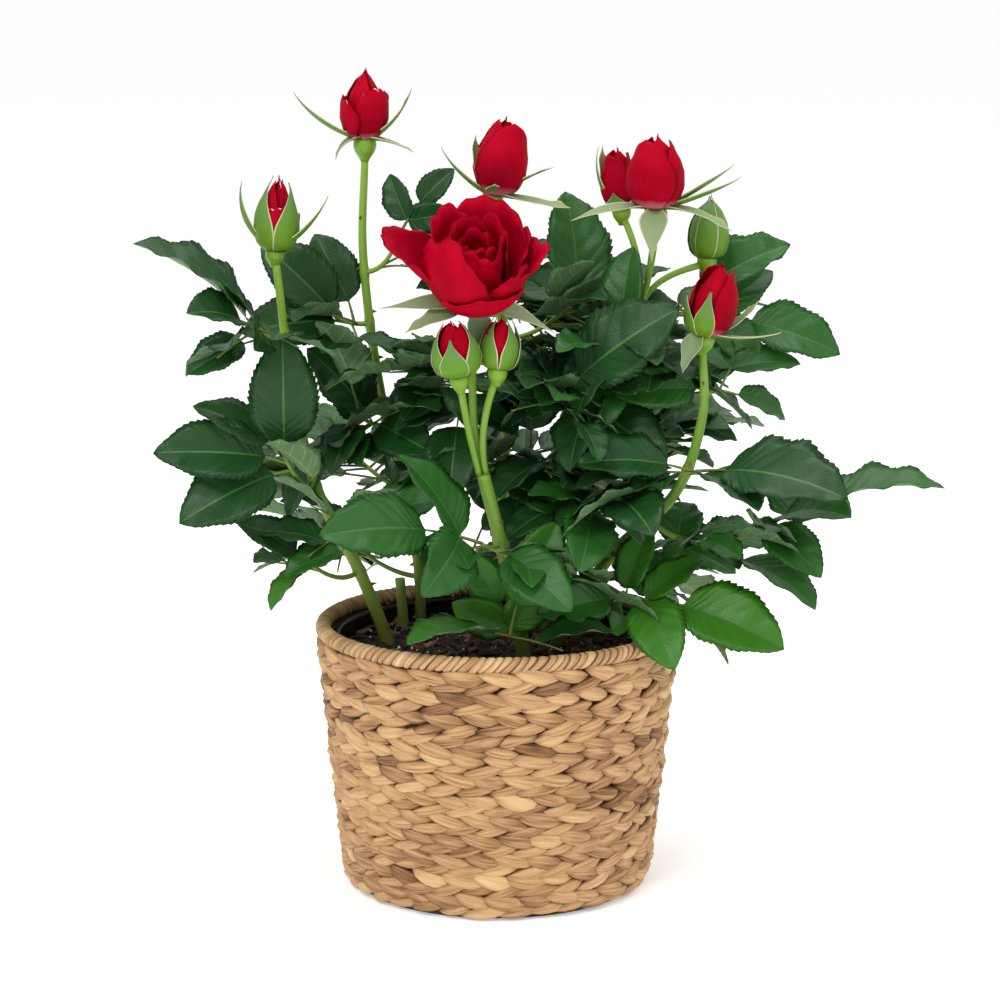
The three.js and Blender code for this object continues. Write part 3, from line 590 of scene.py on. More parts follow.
class Sprays:
    """Grows every spray and deals its twigs and leaflets out to the pieces."""

    FULL = 165000    # triangles after which the next spray starts a new piece

    def __init__(self, limbs, leaf_looks, twig_looks):
        self.limbs, self.leaf_looks = limbs, leaf_looks
        self.twigs = Patchwork(twig_looks)
        self.leaves = [(Patchwork(leaf_looks), [])]
        masses = [node for name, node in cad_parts.items() if name.endswith("_leaves")]
        self.crown = surface_of(masses)
        self.others = surface_of([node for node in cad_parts.values() if node not in masses])

    def grow(self, name, spray):
        cane, at, degrees, rise, length, seed, tint, listed = spray
        node = f"{name}_leaves"
        draw = seeded(seed)
        line, foot, tip = self.limbs[cane]
        along = heading(degrees, rise)
        out = square(along, line.tangent(at))
        start = line.point(at) + out * (foot + (tip - foot) * at + LEAF_GAP)
        twig = bezier(start, start + out * 0.4 * length, start + along * length)
        leaves = [*listed, *chance_leaves(*GROWN.get(name, (0, 0)), degrees, rise, draw)]
        planned = [planned_leaf(twig.point(leaf[0]), leaf, draw) for leaf in leaves]
        shape = BVHTree.FromPolygons(*mesh_of(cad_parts[node]))
        if self.leaves[-1][0].triangles() > self.FULL:
            self.leaves.append((Patchwork(self.leaf_looks), []))
        work, nodes = self.leaves[-1]
        nodes.append(node)
        fine = seeded(seed + 1000)
        root = bezier(line.point(at), start + out * 0.4 * length, twig.point(1))
        rod(self.twigs, root, *TWIG, 0)
        for stalk, leaflets in planned:
            fitting = [fit for fit in (fitting_blade(blade, shape) for blade in leaflets) if fit]
            if not fitting:
                continue
            rod(self.twigs, stalk, *LEAF_STALK, 1)
            shade = tint if fine() < OWN_TINT else TINTS[int(fine() * 2)]
            for blade in fitting:
                leaflet(work, blade, shade, fine)
        self.grow_finer(name, spray, twig, work)

    def grow_finer(self, name, spray, twig, work):
        """Smaller leaves between the large ones, where they stay inside the crown and clear of the rest."""
        draw = seeded(spray.seed + 4000)
        for _ in range(FINER.get(name, USUAL_FINER)):
            at, turn, lift, grow, roll = (draw() for _ in range(5))
            size = FINER_SIZE + FINER_GROWTH * grow
            leaf = (0.25 + 0.75 * at, spray.turn + 210 * (turn - 0.5), -45 + 70 * lift,
                    size * FINER_REACH, 3, size, 60 * (roll - 0.5))
            stalk, leaflets = planned_leaf(twig.point(leaf[0]), leaf, draw)
            fitting = [blade for blade in leaflets if self.has_room(blade)]
            if not fitting or not self.clear_of_limbs([stalk.point(t) for t in (0.5, 1)]):
                continue
            rod(self.twigs, stalk, *FINER_STALK, 1)
            shade = spray.tint if draw() < FINER_OWN_TINT else TINTS[int(draw() * 2)]
            for blade in fitting:
                leaflet(work, blade, shade, draw)

    def has_room(self, blade):
        along = blade.middle(np.array([0.35, 0.7, 1.0]))[0]
        reach = [self.crown.find_nearest(Vector(p))[3] for p in along]
        return max(reach) < CROWN_REACH and min(reach) > LEAF_ROOM and self.clear_of_limbs(along)

    def clear_of_limbs(self, points):
        return all(self.others.find_nearest(Vector(p))[3] > LIMB_ROOM for p in points)


def mesh_of(node):
    return ([v.co / MM for v in node.data.vertices], [list(p.vertices) for p in node.data.polygons])


def surface_of(nodes):
    """One search tree over the faces of several nodes."""
    vertices, faces = [], []
    for node in nodes:
        more, sides = mesh_of(node)
        faces += [[v + len(vertices) for v in side] for side in sides]
        vertices += more
    return BVHTree.FromPolygons(vertices, faces)


def fitting_blade(blade, shape):
    """The leaflet at the size that its mass has room for: its tip then lies on the mass."""
    for share in (1, 0.75):
        candidate = blade.shrunk(share)
        distance = shape.find_nearest(Vector(candidate.tip()))[3]
        if distance is not None and distance < ON_MASS:
            return candidate
    return None


# ---- Looks ----


def rgba(hexadecimal):
    """A colour as the shader wants it, from its usual six digits."""
    shares = [int(hexadecimal[i:i + 2], 16) / 255 for i in (0, 2, 4)]
    return (*(s / 12.92 if s <= 0.04045 else ((s + 0.055) / 1.055) ** 2.4 for s in shares), 1)


class Wire:
    """A socket on which Python's operators add Math nodes."""

    def __init__(self, tree, socket):
        self.tree, self.socket = tree, socket

    def __add__(self, other):
        return self.tree.math("ADD", self, other)

    def __sub__(self, other):
        return self.tree.math("SUBTRACT", self, other)

    def __rsub__(self, other):
        return self.tree.math("SUBTRACT", other, self)

    def __mul__(self, other):
        return self.tree.math("MULTIPLY", self, other)

    def __truediv__(self, other):
        return self.tree.math("DIVIDE", self, other)

    def __pow__(self, other):
        return self.tree.math("POWER", self, other)

    def __mod__(self, other):
        return self.tree.math("FLOORED_MODULO", self, other)

    def __abs__(self):
        return self.tree.math("ABSOLUTE", self)

    def whole(self):
        return self.tree.math("FLOOR", self)

    __radd__, __rmul__ = __add__, __mul__


class Tree:
    """Adds nodes to a node tree."""

    def __init__(self, tree):
        self.tree = tree
        tree.nodes.clear()

    def add(self, kind, inputs=None, output=0, stops=None, **settings):
        """A node: its settings first, then the values or links of its sockets. Returns one output."""
        node = self.tree.nodes.new(kind)
        for name, value in settings.items():
            setattr(node, name, value)
        if stops:
            ramp = node.color_ramp
            while len(ramp.elements) < len(stops):
                ramp.elements.new(0.5)
            for element, (position, colour) in zip(ramp.elements, stops):
                element.position, element.color = position, rgba(colour)
        for key, value in (inputs or {}).items():
            if isinstance(value, Wire):
                self.tree.links.new(value.socket, node.inputs[key])
            else:
                node.inputs[key].default_value = value
        return Wire(self, node.outputs[output]) if node.outputs else node

    def math(self, operation, *values):
        return self.add("ShaderNodeMath", dict(enumerate(values)), operation=operation)

    def ramp(self, share, stops):
        return self.add("ShaderNodeValToRGB", {0: share}, stops=stops)

    def share(self, value, low, high):
        """How far a value has come from low to high, from 0 to 1."""
        return self.add("ShaderNodeMapRange", {"Value": value, "From Min": low, "From Max": high})

    def noise(self, scale, coordinates, detail=2.0, stretch=None):
        if stretch:
            coordinates = self.add("ShaderNodeMapping", {"Vector": coordinates, "Scale": stretch})
        return self.add("ShaderNodeTexNoise", {"Vector": coordinates, "Scale": scale, "Detail": detail})

    def object_place(self):
        return self.add("ShaderNodeTexCoord", output="Object")

    def attribute(self, name, output="Vector"):
        return self.add("ShaderNodeAttribute", output=output, attribute_name=name)

    def split(self, vector_wire, axis):
        return self.add("ShaderNodeSeparateXYZ", {0: vector_wire}, output=axis)

    def join(self, x, y, z):
        return self.add("ShaderNodeCombineXYZ", {0: x, 1: y, 2: z})

    def on_circle(self, turn, radius, height):
        return self.join(radius * self.math("COSINE", turn), radius * self.math("SINE", turn), height)

    def bump(self, height, distance, strength):
        return self.add("ShaderNodeBump", {"Height": height, "Distance": distance, "Strength": strength})

    def blend(self, share, a, b):
        """A colour between a and b."""
        return self.add("ShaderNodeMix", {"Factor": share, 6: a, 7: b}, output=2, data_type="RGBA")

    def chances(self, number, seed):
        """A function for the nth random number of each copy, or of each value of `each`."""
        return lambda nth, low=0.0, high=1.0, each=number: self.add(
            "FunctionNodeRandomValue", {2: low, 3: high, 7: each, 8: seed + nth}, output=1)


def look(name, colour, roughness, nodes=None, shine=0.5, **more):
    """A material. nodes(tree) returns what is worked out over the surface."""
    material = bpy.data.materials.new(name)
    material.use_nodes = True
    tree = Tree(material.node_tree)
    values = {"Base Color": rgba(colour), "Roughness": roughness, "Specular IOR Level": shine, **more}
    if nodes:
        values.update(nodes(tree))
    shader = tree.add("ShaderNodeBsdfPrincipled", values)
    tree.add("ShaderNodeOutputMaterial", {"Surface": shader})
    material.diffuse_color = rgba(colour)
    return material


def leaf_look(name, colour, roughness):
    """Waxy upper side: fine cells, and gloss that changes from patch to patch."""
    def nodes(tree):
        place = tree.object_place()
        cells = tree.add("ShaderNodeTexVoronoi", {"Vector": place, "Scale": 900.0},
                         feature="DISTANCE_TO_EDGE")
        patches = tree.noise(70.0, place)
        return {"Normal": tree.bump(cells, 0.0004, 0.35), "Roughness": roughness - 0.08 + 0.2 * patches}
    return look(name, colour, roughness, nodes, shine=0.3)


def leaf_looks():
    # The third tint, for the low sprays, is a brighter yellow-green: painted light shining through those
    # leaves.
    tops = {"deep": ("1a461b", 0.33), "mid": ("275c1f", 0.34), "fresh": ("38741a", 0.35),
            "blue": ("274a39", 0.33)}
    # The fourth tint, for the leaves at the top, is dark green with a bluish grey cast that is a painted
    # gloss reflection.
    return [*(leaf_look(f"leaf_{tint}", *tops[tint]) for tint in TINTS),
            leaf_look("leaf_vein", "3d7030", 0.38), leaf_look("leaf_underside", "5c7e52", 0.62),
            leaf_look("leaf_underside_vein", "7c9868", 0.6)]


def stem_look():
    """Green bark that browns towards the ground, with fine stripes along it."""
    def nodes(tree):
        place = tree.object_place()
        mottle = tree.noise(60.0, place, 4.0, (1, 1, 0.25))
        height = tree.share(tree.split(place, "Z") + 0.03 * (mottle - 0.5), 0.1, 0.26)
        colour = tree.ramp(height, [(0.0, "6c6a2c"), (0.15, "728c30"), (0.6, "709a2e"), (1.0, "80a832")])
        stripes = tree.noise(500.0, place, 3.0, (1, 1, 0.12))
        return {"Base Color": colour, "Normal": tree.bump(stripes, 0.0005, 0.5),
                "Roughness": 0.4 + 0.25 * mottle}
    return look("green_bark", "6f9a35", 0.5, nodes)


def petal_look():
    """Velvet petals: pale at the foot, with clouds and fine stripes from foot to lip."""
    def nodes(tree):
        place = tree.attribute("place")
        along = tree.split(place, "Y")
        stripes = tree.noise(1.0, place, 3.0, (26, 1.5, 9))
        clouds = tree.noise(55.0, tree.object_place())
        red = tree.ramp(0.7 * clouds + 0.24 * stripes + 0.25 * along - 0.1, [
            (0.1, "64000f"), (0.5, "9e001c"), (0.9, "ca0429")])
        foot = tree.share(along + 0.06 * stripes, 0.19, 0.03)
        return {"Base Color": tree.blend(0.6 * foot, red, rgba("eda3b4")),
                "Normal": tree.bump(stripes, 0.0005, 0.2)}
    return look("petal", "a70224", 0.6, nodes, shine=0.04)


def sepal_look():
    """Outer side of a sepal: bright yellowish green at its foot, its own colour, turning bluish towards the
    tip, which is partly its own colour and partly painted highlight.
    """
    def nodes(tree):
        along = tree.split(tree.attribute("place"), "Y")
        clouds = tree.noise(90.0, tree.object_place())
        return {"Base Color": tree.ramp(along + 0.5 * clouds - 0.25, [
            (0.0, "689019"), (0.35, "5f8b22"), (0.8, "5d8446")])}
    return look("sepal_outside", "5f8b22", 0.45, nodes, shine=0.3)


def straw_look():
    """Dried stem: fine fibres along each strand, pale straw to brown, with painted shade that darkens its
    sides and ends.
    """
    def nodes(tree):
        place, tone = tree.attribute("place"), tree.attribute("tone", "Fac")
        across, along = tree.split(place, "X"), tree.split(place, "Y")
        fibres = tree.noise(1.0, tree.join(26 * across, 1.6 * along, 40 * tone), 4.0)
        streaks = tree.noise(1.0, tree.join(7 * across, 1.1 * along, 23 * tone + 5))
        # painted shade: each strand is darkened at its sides and ends, where it curves away under its
        # neighbours
        side, end = abs(across - 0.5) * 4, abs(along - 0.5) * 2
        share = 0.48 * tone + 0.75 * streaks + 0.7 * fibres - 0.49 - 0.6 * side ** 4 - 0.4 * end ** 5
        colour = tree.ramp(share, [
            (0.0, "442c1b"), (0.25, "8c6440"), (0.5, "c2986a"), (0.75, "dbb684"), (1.0, "eed4a8")])
        return {"Base Color": colour, "Normal": tree.bump(fibres, 0.001, 0.7),
                "Roughness": 0.55 + 0.25 * fibres}
    return look("braid_straw", "c9a066", 0.65, nodes, shine=0.3)


def compost_look(name, roughness, *stops):
    """Crumbs and bits whose colour goes by their tone and by fine noise."""
    def nodes(tree):
        crumbs = tree.noise(700.0, tree.object_place(), 4.0)
        colour = tree.ramp(0.75 * tree.attribute("tone", "Fac") + 0.6 * crumbs - 0.2, stops)
        return {"Base Color": colour, "Normal": tree.bump(crumbs, 0.001, 0.8)}
    return look(name, "2a1d15", roughness, nodes)


# ---- Basket, rim, nursery pot and compost ----

FOOT_RADIUS, TOP_RADIUS = 67.4, 79    # outside of the wall at the ground and at its top
WALL_TOP, WALL = 111.7, 5.5           # height and thickness of the wall
CORD_RING, CORD_HEIGHT, CORD_RADIUS = 76.8, 115.2, 3.2
SOIL_RADIUS, SOIL_HEIGHT = 70.1, 104
STRAND_LENGTH, STRAND_DEPTH, STRAND_WIDTH = 11.2, 3, 3.6    # from the middle of a strand
RIM_WRAPS = 128
ROUND = 96                            # sides of the basket's core and of the pot
NEAR_AXIS = 0.5                       # where the outline of a revolved body starts and ends


def wall_radius(height):
    return FOOT_RADIUS + (TOP_RADIUS - FOOT_RADIUS) * height / WALL_TOP


def node_group(name, inputs):
    """An empty Geometry Nodes tree with named inputs. Returns it, its Tree and the wires of its inputs."""
    group = bpy.data.node_groups.new(name, "GeometryNodeTree")
    kinds = {int: "NodeSocketInt", float: "NodeSocketFloat", bpy.types.Material: "NodeSocketMaterial"}
    group.interface.new_socket("Geometry", in_out="INPUT", socket_type="NodeSocketGeometry")
    for label, kind in inputs.items():
        group.interface.new_socket(label, in_out="INPUT", socket_type=kinds[kind])
    group.interface.new_socket("Geometry", in_out="OUTPUT", socket_type="NodeSocketGeometry")
    tree = Tree(group)
    entry = group.nodes.new("NodeGroupInput")
    return group, tree, {socket.name: Wire(tree, socket) for socket in entry.outputs if socket.name}


def strewn(tree, entry, count, spot, turn, size, tone):
    """Ends a tree: puts the shape it is given on `count` spots, each with its turn, size and tone."""
    points = tree.add("GeometryNodePoints", {"Count": count, "Position": spot})
    turn = tree.add("FunctionNodeEulerToRotation", {0: turn})
    copies = tree.add("GeometryNodeInstanceOnPoints", {
        "Points": points, "Instance": entry["Geometry"], "Rotation": turn, "Scale": size})
    toned = tree.add("GeometryNodeStoreNamedAttribute", {0: copies, "Name": "tone", "Value": tone},
                     data_type="FLOAT", domain="INSTANCE")
    meshes = tree.add("GeometryNodeRealizeInstances", {0: toned})
    finished = tree.add("GeometryNodeSetMaterial", {0: meshes, "Material": entry["Material"]})
    tree.add("NodeGroupOutput", {0: finished})


def repeated(name, work, group, slot, values):
    """Runs a tree on a shape and settles the outcome as a piece."""
    piece = bpy.data.objects.new(name, work.mesh(name))
    bpy.context.scene.collection.objects.link(piece)
    modifier = piece.modifiers.new(name, "NODES")
    modifier.node_group = group
    for item in group.interface.items_tree:
        if item.in_out == "INPUT" and item.name in values:
            modifier[item.identifier] = values[item.name]
    ready = piece.evaluated_get(bpy.context.evaluated_depsgraph_get())
    mesh = bpy.data.meshes.new_from_object(ready)
    piece.modifiers.remove(modifier)
    piece.data = mesh
    return settled(piece, slot)


def strand():
    """Where a strand of the braid comes to the surface: a pointed lens that follows the basket's curve."""
    work = Patchwork([])
    turns = ring_angles(8)
    rings = []
    for share in np.linspace(-1, 1, 8):
        taper = max(1 - share ** 2, 0.015) ** 0.6
        y = share * STRAND_LENGTH
        out = -np.cos(turns) * STRAND_DEPTH * taper - y ** 2 / (2 * 75) - 1.3 * share ** 2
        rings.append(np.stack([out, 0 * turns + y, np.sin(turns) * STRAND_WIDTH * taper ** 1.1], axis=-1))
    loft(work, np.array(rings), 0)
    return work


def braid_tree():
    """Two lines of strands to a row: they slant towards each other, all one way round in each row."""
    group, tree, entry = node_group("braid", {
        "Rows": int, "Strands": int, "Foot": float, "Row Height": float, "Radius": float, "Flare": float,
        "Slant": float, "Tuck": float, "Seed": int, "Material": bpy.types.Material})
    number, strands = tree.add("GeometryNodeInputIndex"), entry["Strands"]
    chance = tree.chances(number, entry["Seed"])
    line = (number / strands).whole()
    upper, row = line % 2, (line / 2).whole()
    way = 1 - 2 * (chance(1, each=row) * 1.3).whole()
    beside = number % strands + 0.5 * upper + chance(2, each=row) + chance(3, -0.09, 0.09)
    around = beside / strands * math.tau
    height = entry["Foot"] + (row + 0.27 + 0.46 * upper) * entry["Row Height"] + 0.0016 * (chance(4) - 0.5)
    out = entry["Radius"] + entry["Flare"] * height - 0.0012 * chance(5)
    out = out - 0.0022 * tree.math("MAXIMUM", 1 - height / 0.009, 0.0)    # the lowest row is drawn in
    spot = tree.on_circle(around, out, height)
    slant = (entry["Slant"] + chance(6, -0.11, 0.11)) * (1 - 2 * upper) * way
    turn = tree.join(slant, 0.104, around + entry["Tuck"] * way)
    size = tree.join(chance(7, 0.8, 1.15), chance(8, 0.88, 1.18),
                     chance(9, 0.86, 1.08) * (0.9 + 0.24 * upper))
    tone = 0.6 * chance(10) + 0.4 * chance(11, each=(number / 3).whole())
    strewn(tree, entry, 2 * entry["Rows"] * strands, spot, turn, size, tone)
    return group


def rim(straw):
    """The wrapped cord of the rim: uneven slanting turns of a flat strand, with a crease between them."""
    draw = seeded(41)

    def drawn():
        return np.array([draw() for _ in range(RIM_WRAPS)])

    columns, sections = 6, 20
    share = np.arange(columns) / columns

    def between(values):
        """Values at each column, from those where the wraps meet."""
        return (values[:-1, None] * (1 - share) + values[1:, None] * share).ravel()

    widths = 0.75 + 0.5 * drawn()
    widths[drawn() < 0.12] *= 1.5
    edges = np.concatenate([[0], np.cumsum(widths)]) / widths.sum() * math.tau
    slants = 2.5 + 1.5 * (drawn() - 0.5)
    slants = np.append(slants, slants[0]) / CORD_RING
    swell, tones = 0.1 + 0.25 * drawn(), 0.5 + 0.6 * drawn()
    section = ring_angles(sections)[:, None] - math.pi / 2
    bulge = np.repeat(swell, columns) + 0.62 * np.tile(np.sin(math.pi * share) ** 0.45, RIM_WRAPS) - 0.55
    around = between(edges) + between(slants) * np.sin(section)
    radius = CORD_RADIUS + bulge + 0 * around
    grid = polar(around, CORD_RING + radius * np.cos(section), CORD_HEIGHT + radius * np.sin(section))
    index = np.arange(around.size).reshape(around.shape)
    # across reaches both edges of each wrap, where the straw look paints shade into the crease
    across = np.tile(0.25 + 0.5 * share, (sections, RIM_WRAPS))
    along = np.broadcast_to(np.linspace(0.1, 0.9, sections)[:, None], across.shape)
    work = Patchwork([straw])
    work.add(grid.reshape(-1, 3), quads(np.pad(index, (0, 1), mode="wrap")), 0,
             np.stack([across, along, 0 * along], axis=-1).reshape(-1, 3))
    mesh = work.mesh("rim_wraps")
    tone = mesh.attributes.new("tone", "FLOAT", "POINT")
    tone.data.foreach_set("value", np.tile(np.repeat(tones, columns), sections))
    settled(bpy.data.objects.new("rim_wraps", mesh), "straw", "rim_cord")


def basket(straw, shadow):
    core = Patchwork([shadow])
    outside = [(wall_radius(z) - 2.1 - 3 * max(0, 1 - z / 6) ** 2, z) for z in np.linspace(0, WALL_TOP, 24)]
    inside = [(wall_radius(z) - WALL, z) for z in (WALL_TOP, 60, 5)]
    revolved(core, [(NEAR_AXIS, 0), (40, 0), *outside, *inside, (NEAR_AXIS, 5)], ROUND, 0)
    core.piece("basket_core", "straw", "basket")
    repeated("basket_braid", strand(), braid_tree(), "straw", {
        "Rows": 12, "Strands": 32, "Foot": 2.1 * MM, "Row Height": 9.13 * MM,
        "Radius": (FOOT_RADIUS - 0.9) * MM, "Flare": (TOP_RADIUS - FOOT_RADIUS) / WALL_TOP,
        "Slant": 0.2, "Tuck": 0.085, "Seed": 5, "Material": straw})


def nursery_pot(plastic):
    """A thin pot with a rolled lip that shows inside the rim."""
    work = Patchwork([plastic])
    outer = [(wall_radius(z) - WALL - 1.3, z) for z in (5.3, 60, 105)]
    inner = [(wall_radius(z) - WALL - 2.6, z) for z in (108, 60, 6.5)]
    lip, roll = wall_radius(111) - WALL - 1.6, 1.3
    over = [(lip - roll + roll * math.cos(turn), 111.4 + roll * math.sin(turn))
            for turn in np.radians([-60, 0, 45, 90, 135, 180, 240])]
    revolved(work, [(NEAR_AXIS, 5.3), *outer, *over, *inner, (NEAR_AXIS, 6.5)], ROUND, 0)
    work.piece("pot", "plastic", "nursery_pot")


def soil_height(x, y):
    """Uneven ground, a little higher in the middle."""
    lumps = 1.7 * noise.noise(Vector((x / 14, y / 14, 3))) + 0.9 * noise.noise(Vector((x / 4.5, y / 4.5, 8)))
    return SOIL_HEIGHT + 0.4 + lumps - 1.6 * (math.hypot(x, y) / SOIL_RADIUS) ** 6


def compost(looks):
    work = Patchwork([looks["crumbs"]])
    turns = ring_angles(110)
    rings = [polar(turns, r, z) for r, z in ((1, 7), (wall_radius(7) - 9, 7), (SOIL_RADIUS - 1, 90))]
    for r in np.linspace(SOIL_RADIUS, 1, 34):
        heights = [soil_height(x, y) for x, y, _ in polar(turns, r, 0)]
        rings.append(polar(turns, r, np.array(heights)))
    loft(work, np.array(rings), 0)
    work.piece("soil", "compost", "compost")
    chip, fibre, speck = Patchwork([]), Patchwork([]), Patchwork([])
    chip_line = bezier(vector(-3, 0, 0), vector(0, 0.6, 0.4), vector(3, 0, 0))
    loft(chip, rings_along(chip_line, chip_radius, 5, 3), 0)
    rod(fibre, bezier(vector(-7, 0, 0), vector(0, 3, 2.5), vector(7, 0, 0)), 0.28, 0, 4, 6, 0)
    rod(speck, bezier(vector(0, 0, -0.4), vector(0, 0, 0), vector(0, 0, 0.4)), 0.45, 0, 5, 3, 0)
    group = scatter_tree()
    labels = ("Count", "Rise", "Tilt", "Smallest", "Largest", "Seed")
    for name, shape, look_name, values in (
            ("bark_chips", chip, "bark", (850, 0.6 * MM, 0.35, 0.35, 1.5, 11)),
            ("fibres", fibre, "fibre", (150, 1.4 * MM, 0.3, 0.4, 1.3, 12)),
            ("grit", speck, "grit", (260, 1.2 * MM, 1.0, 0.5, 1.4, 13))):
        repeated(name, shape, group, "compost", {
            **dict(zip(labels, values)), "Radius": (SOIL_RADIUS - 1) * MM,
            "Height": (SOIL_HEIGHT + 0.5) * MM, "Material": looks[look_name]})


def chip_radius(t, turns):
    return (1.1 - 0.35 * np.sin(2 * turns)) * (0.7 + 0.5 * math.sin(2.8 * t))


def scatter_tree():
    """Bits strewn evenly over a disc, most of them near their smallest size."""
    group, tree, entry = node_group("scatter", {
        "Count": int, "Radius": float, "Height": float, "Rise": float, "Tilt": float, "Smallest": float,
        "Largest": float, "Seed": int, "Material": bpy.types.Material})
    chance, tilt = tree.chances(tree.add("GeometryNodeInputIndex"), entry["Seed"]), entry["Tilt"]
    out = entry["Radius"] * chance(1) ** 0.5
    around = chance(2, 0.0, math.tau)
    spot = tree.on_circle(around, out, entry["Height"] + entry["Rise"] * chance(3, -1.0, 1.0))
    turn = tree.join(tilt * chance(4, -1.0, 1.0), tilt * chance(5, -1.0, 1.0), chance(6, 0.0, math.tau))
    size = entry["Smallest"] + (entry["Largest"] - entry["Smallest"]) * chance(7) ** 2
    strewn(tree, entry, entry["Count"], spot, turn, tree.join(size, size, size), chance(8))
    return group


# ---- Canes and stalks ----


def cane_lines():
    """Each cane and stalk: its curve, radius at the foot and at the tip."""
    limbs = {name: (spline(points), foot, tip) for name, (points, foot, tip) in CANES.items()}
    for name, (cane, side, end, foot, tip) in STALKS.items():
        fork = limbs[cane][0]
        out = fork.tangent(1)
        start = fork.point(1) + out * JOINT_GAP + square(heading(side), out) * FORK_SPREAD
        length = np.linalg.norm(np.array(end) - start)
        limbs[name] = (bezier(start, start + out * length * 0.45, np.array(end, float)), foot, tip)
    return limbs


def prickle(work, line, t, turn, radius, length):
    """A flat-sided prickle that hooks down a little."""
    along = line.tangent(t)
    out = spun(square(vector(0.3, 1, 0), along), along, turn)
    foot = line.point(t) + out * radius * 0.7
    course = bezier(foot, foot + out * length * 0.7 + along * 0.1 * length,
                    foot + out * length - along * 0.25 * length)
    turns = ring_angles(6)
    wide, tall = np.cross(along, out), along
    rings = []
    for share in np.linspace(0, 1, 5):
        size = (1 - share) ** 1.3 + 0.03
        rings.append(course.point(share) + size * (np.cos(turns)[:, None] * wide * 0.45
                                                   + np.sin(turns)[:, None] * tall * 1.15))
    loft(work, np.array(rings), 1)


def canes(limbs, looks):
    work = Patchwork(looks)
    draw = seeded(77)
    for name, (line, foot, tip) in limbs.items():
        length = sum(np.linalg.norm(line.point((i + 1) / 20) - line.point(i / 20)) for i in range(20))
        joints = [spray.at for spray in SPRAYS.values() if spray.cane == name]
        [phase] = phases(draw, 1)

        def radius(t, turns):
            size = foot + (tip - foot) * t
            size += sum(0.45 * math.exp(-((t - at) * length / 2.2) ** 2) for at in joints)
            return size * (1 + 0.035 * np.sin(3 * turns + phase + 5 * t) + 0.02 * np.sin(7 * turns + 9 * t))

        loft(work, rings_along(line, radius, 14, max(12, int(length / 2.4))), 0)
        if name in CANES:
            for _ in range(int(length / 15)):
                t = 0.12 + 0.8 * draw()
                prickle(work, line, t, 360 * draw(), foot + (tip - foot) * t, 2.0 + 1.6 * draw())
    for foot, top, radius in STUBS:
        foot, top = np.array(foot, float), np.array(top, float)
        line = bezier(foot, (foot + top) / 2, top)
        loft(work, rings_along(line, lambda t, a: radius * (1.08 - 0.1 * t + 0.03 * np.sin(3 * a)), 12, 8), 0)
    return work.piece("canes", "stem", *CANES, *STALKS)


# ---- Blooms ----


class BloomFrame:
    """A bloom is made round +Z with its hip's middle at the origin, then turned to its axis."""

    def __init__(self, limbs, stalk, axis, hip):
        line = limbs[stalk][0]
        self.middle = line.point(1) + line.tangent(1) * (hip + JOINT_GAP)
        up = heading(*axis)
        left = square(vector(0, 1, 0), up)
        self.turn = np.array([np.cross(left, up), left, up])

    def __call__(self, points):
        return points @ self.turn + self.middle


def flower_blade(azimuth, radius, height, foot, lip, length):
    """Blade of a flower at an azimuth: leans out of the axis by `foot` where it starts, `lip` at its end."""
    middle = (foot + lip) / 2
    start = heading(azimuth) * radius + vector(0, 0, height)
    return Blade(start, heading(azimuth, 90 - middle), heading(azimuth, 180 - middle), length, lip - foot)


SEPAL_COLUMNS = np.array([-1, -0.91, -0.45, 0, 0.45, 0.91, 1])
SEPAL_ROWS = 18
SEPAL_FOOT = 2.4                  # half width of any sepal where it starts
OUTSIDE, INSIDE, PALE_MARGIN, HIP = 0, 1, 2, 3    # slots of the calyces
PETAL_RED, PALE_EDGE = 0, 1       # slots of the petals
SHEET = 0.35                      # thickness of sepals and petals
BUD_SEED, ROSE_SEED = 300, 606
BUD_LAYERS = 8
FRAY = 0.06                       # depth of a torn petal's edge over the petal's height
GOLDEN_ANGLE = 137.5              # from each petal of a bud to the next
GIRTH = ([0, 0.04, 0.12, 0.3, 0.5, 0.65, 0.85, 1],            # share of a bud's height
         [0.34, 0.6, 0.84, 1, 0.98, 0.86, 0.54, 0.18])        # its girth there over its widest
HIP_GIRTH = [(-1.4, 0.44), (-1.15, 0.52), (-0.8, 0.76), (-0.4, 1.02), (0.1, 1.16), (0.5, 1.14),
             (0.8, 1.05), (0.95, 0.8)]    # height and radius over the hip's radius


def grid_shares(rows, columns):
    """Shares up a column and, from -1 to 1, across a row."""
    return np.linspace(0, 1, rows)[:, None], np.linspace(-1, 1, columns)[None, :]


def sepal_slots(face):
    """Slots of a sepal's face: its look, and the pale margin down both sides."""
    slots = np.full((SEPAL_ROWS - 1, len(SEPAL_COLUMNS) - 1), face)
    slots[:, [0, -1]] = PALE_MARGIN
    return slots.ravel()


def sepal(work, place, blade, width, draw):
    """A sepal that stands off: a channel that is widest in its lower half and ends in a long thin tip."""
    x = SEPAL_COLUMNS
    t = np.linspace(0, 1, SEPAL_ROWS)[:, None]
    half = SEPAL_FOOT + (width - SEPAL_FOOT) * smooth(0, 0.32, t)
    half = half * (1 - smooth(0.3, 0.97, t)) + 0.3 * (1 - t) + 0.12
    half = half + (0.05 * blade.length * np.exp(-((t - 0.8) / 0.09) ** 2) if draw() < 0.4 else 0)
    half = half * (1 + 0 * x)
    point, upper = blade.middle(t + 0 * x)
    lift = 0.6 * np.abs(x) ** 1.6 * half * (1 - 0.5 * smooth(0, 0.4, t)) + 1.6 * (draw() - 0.5) * t * x * half
    grid = point + blade.across * (x * half)[..., None] + upper * lift[..., None]
    two_sided(work, place(grid), SHEET, sepal_slots(INSIDE), sepal_slots(OUTSIDE))


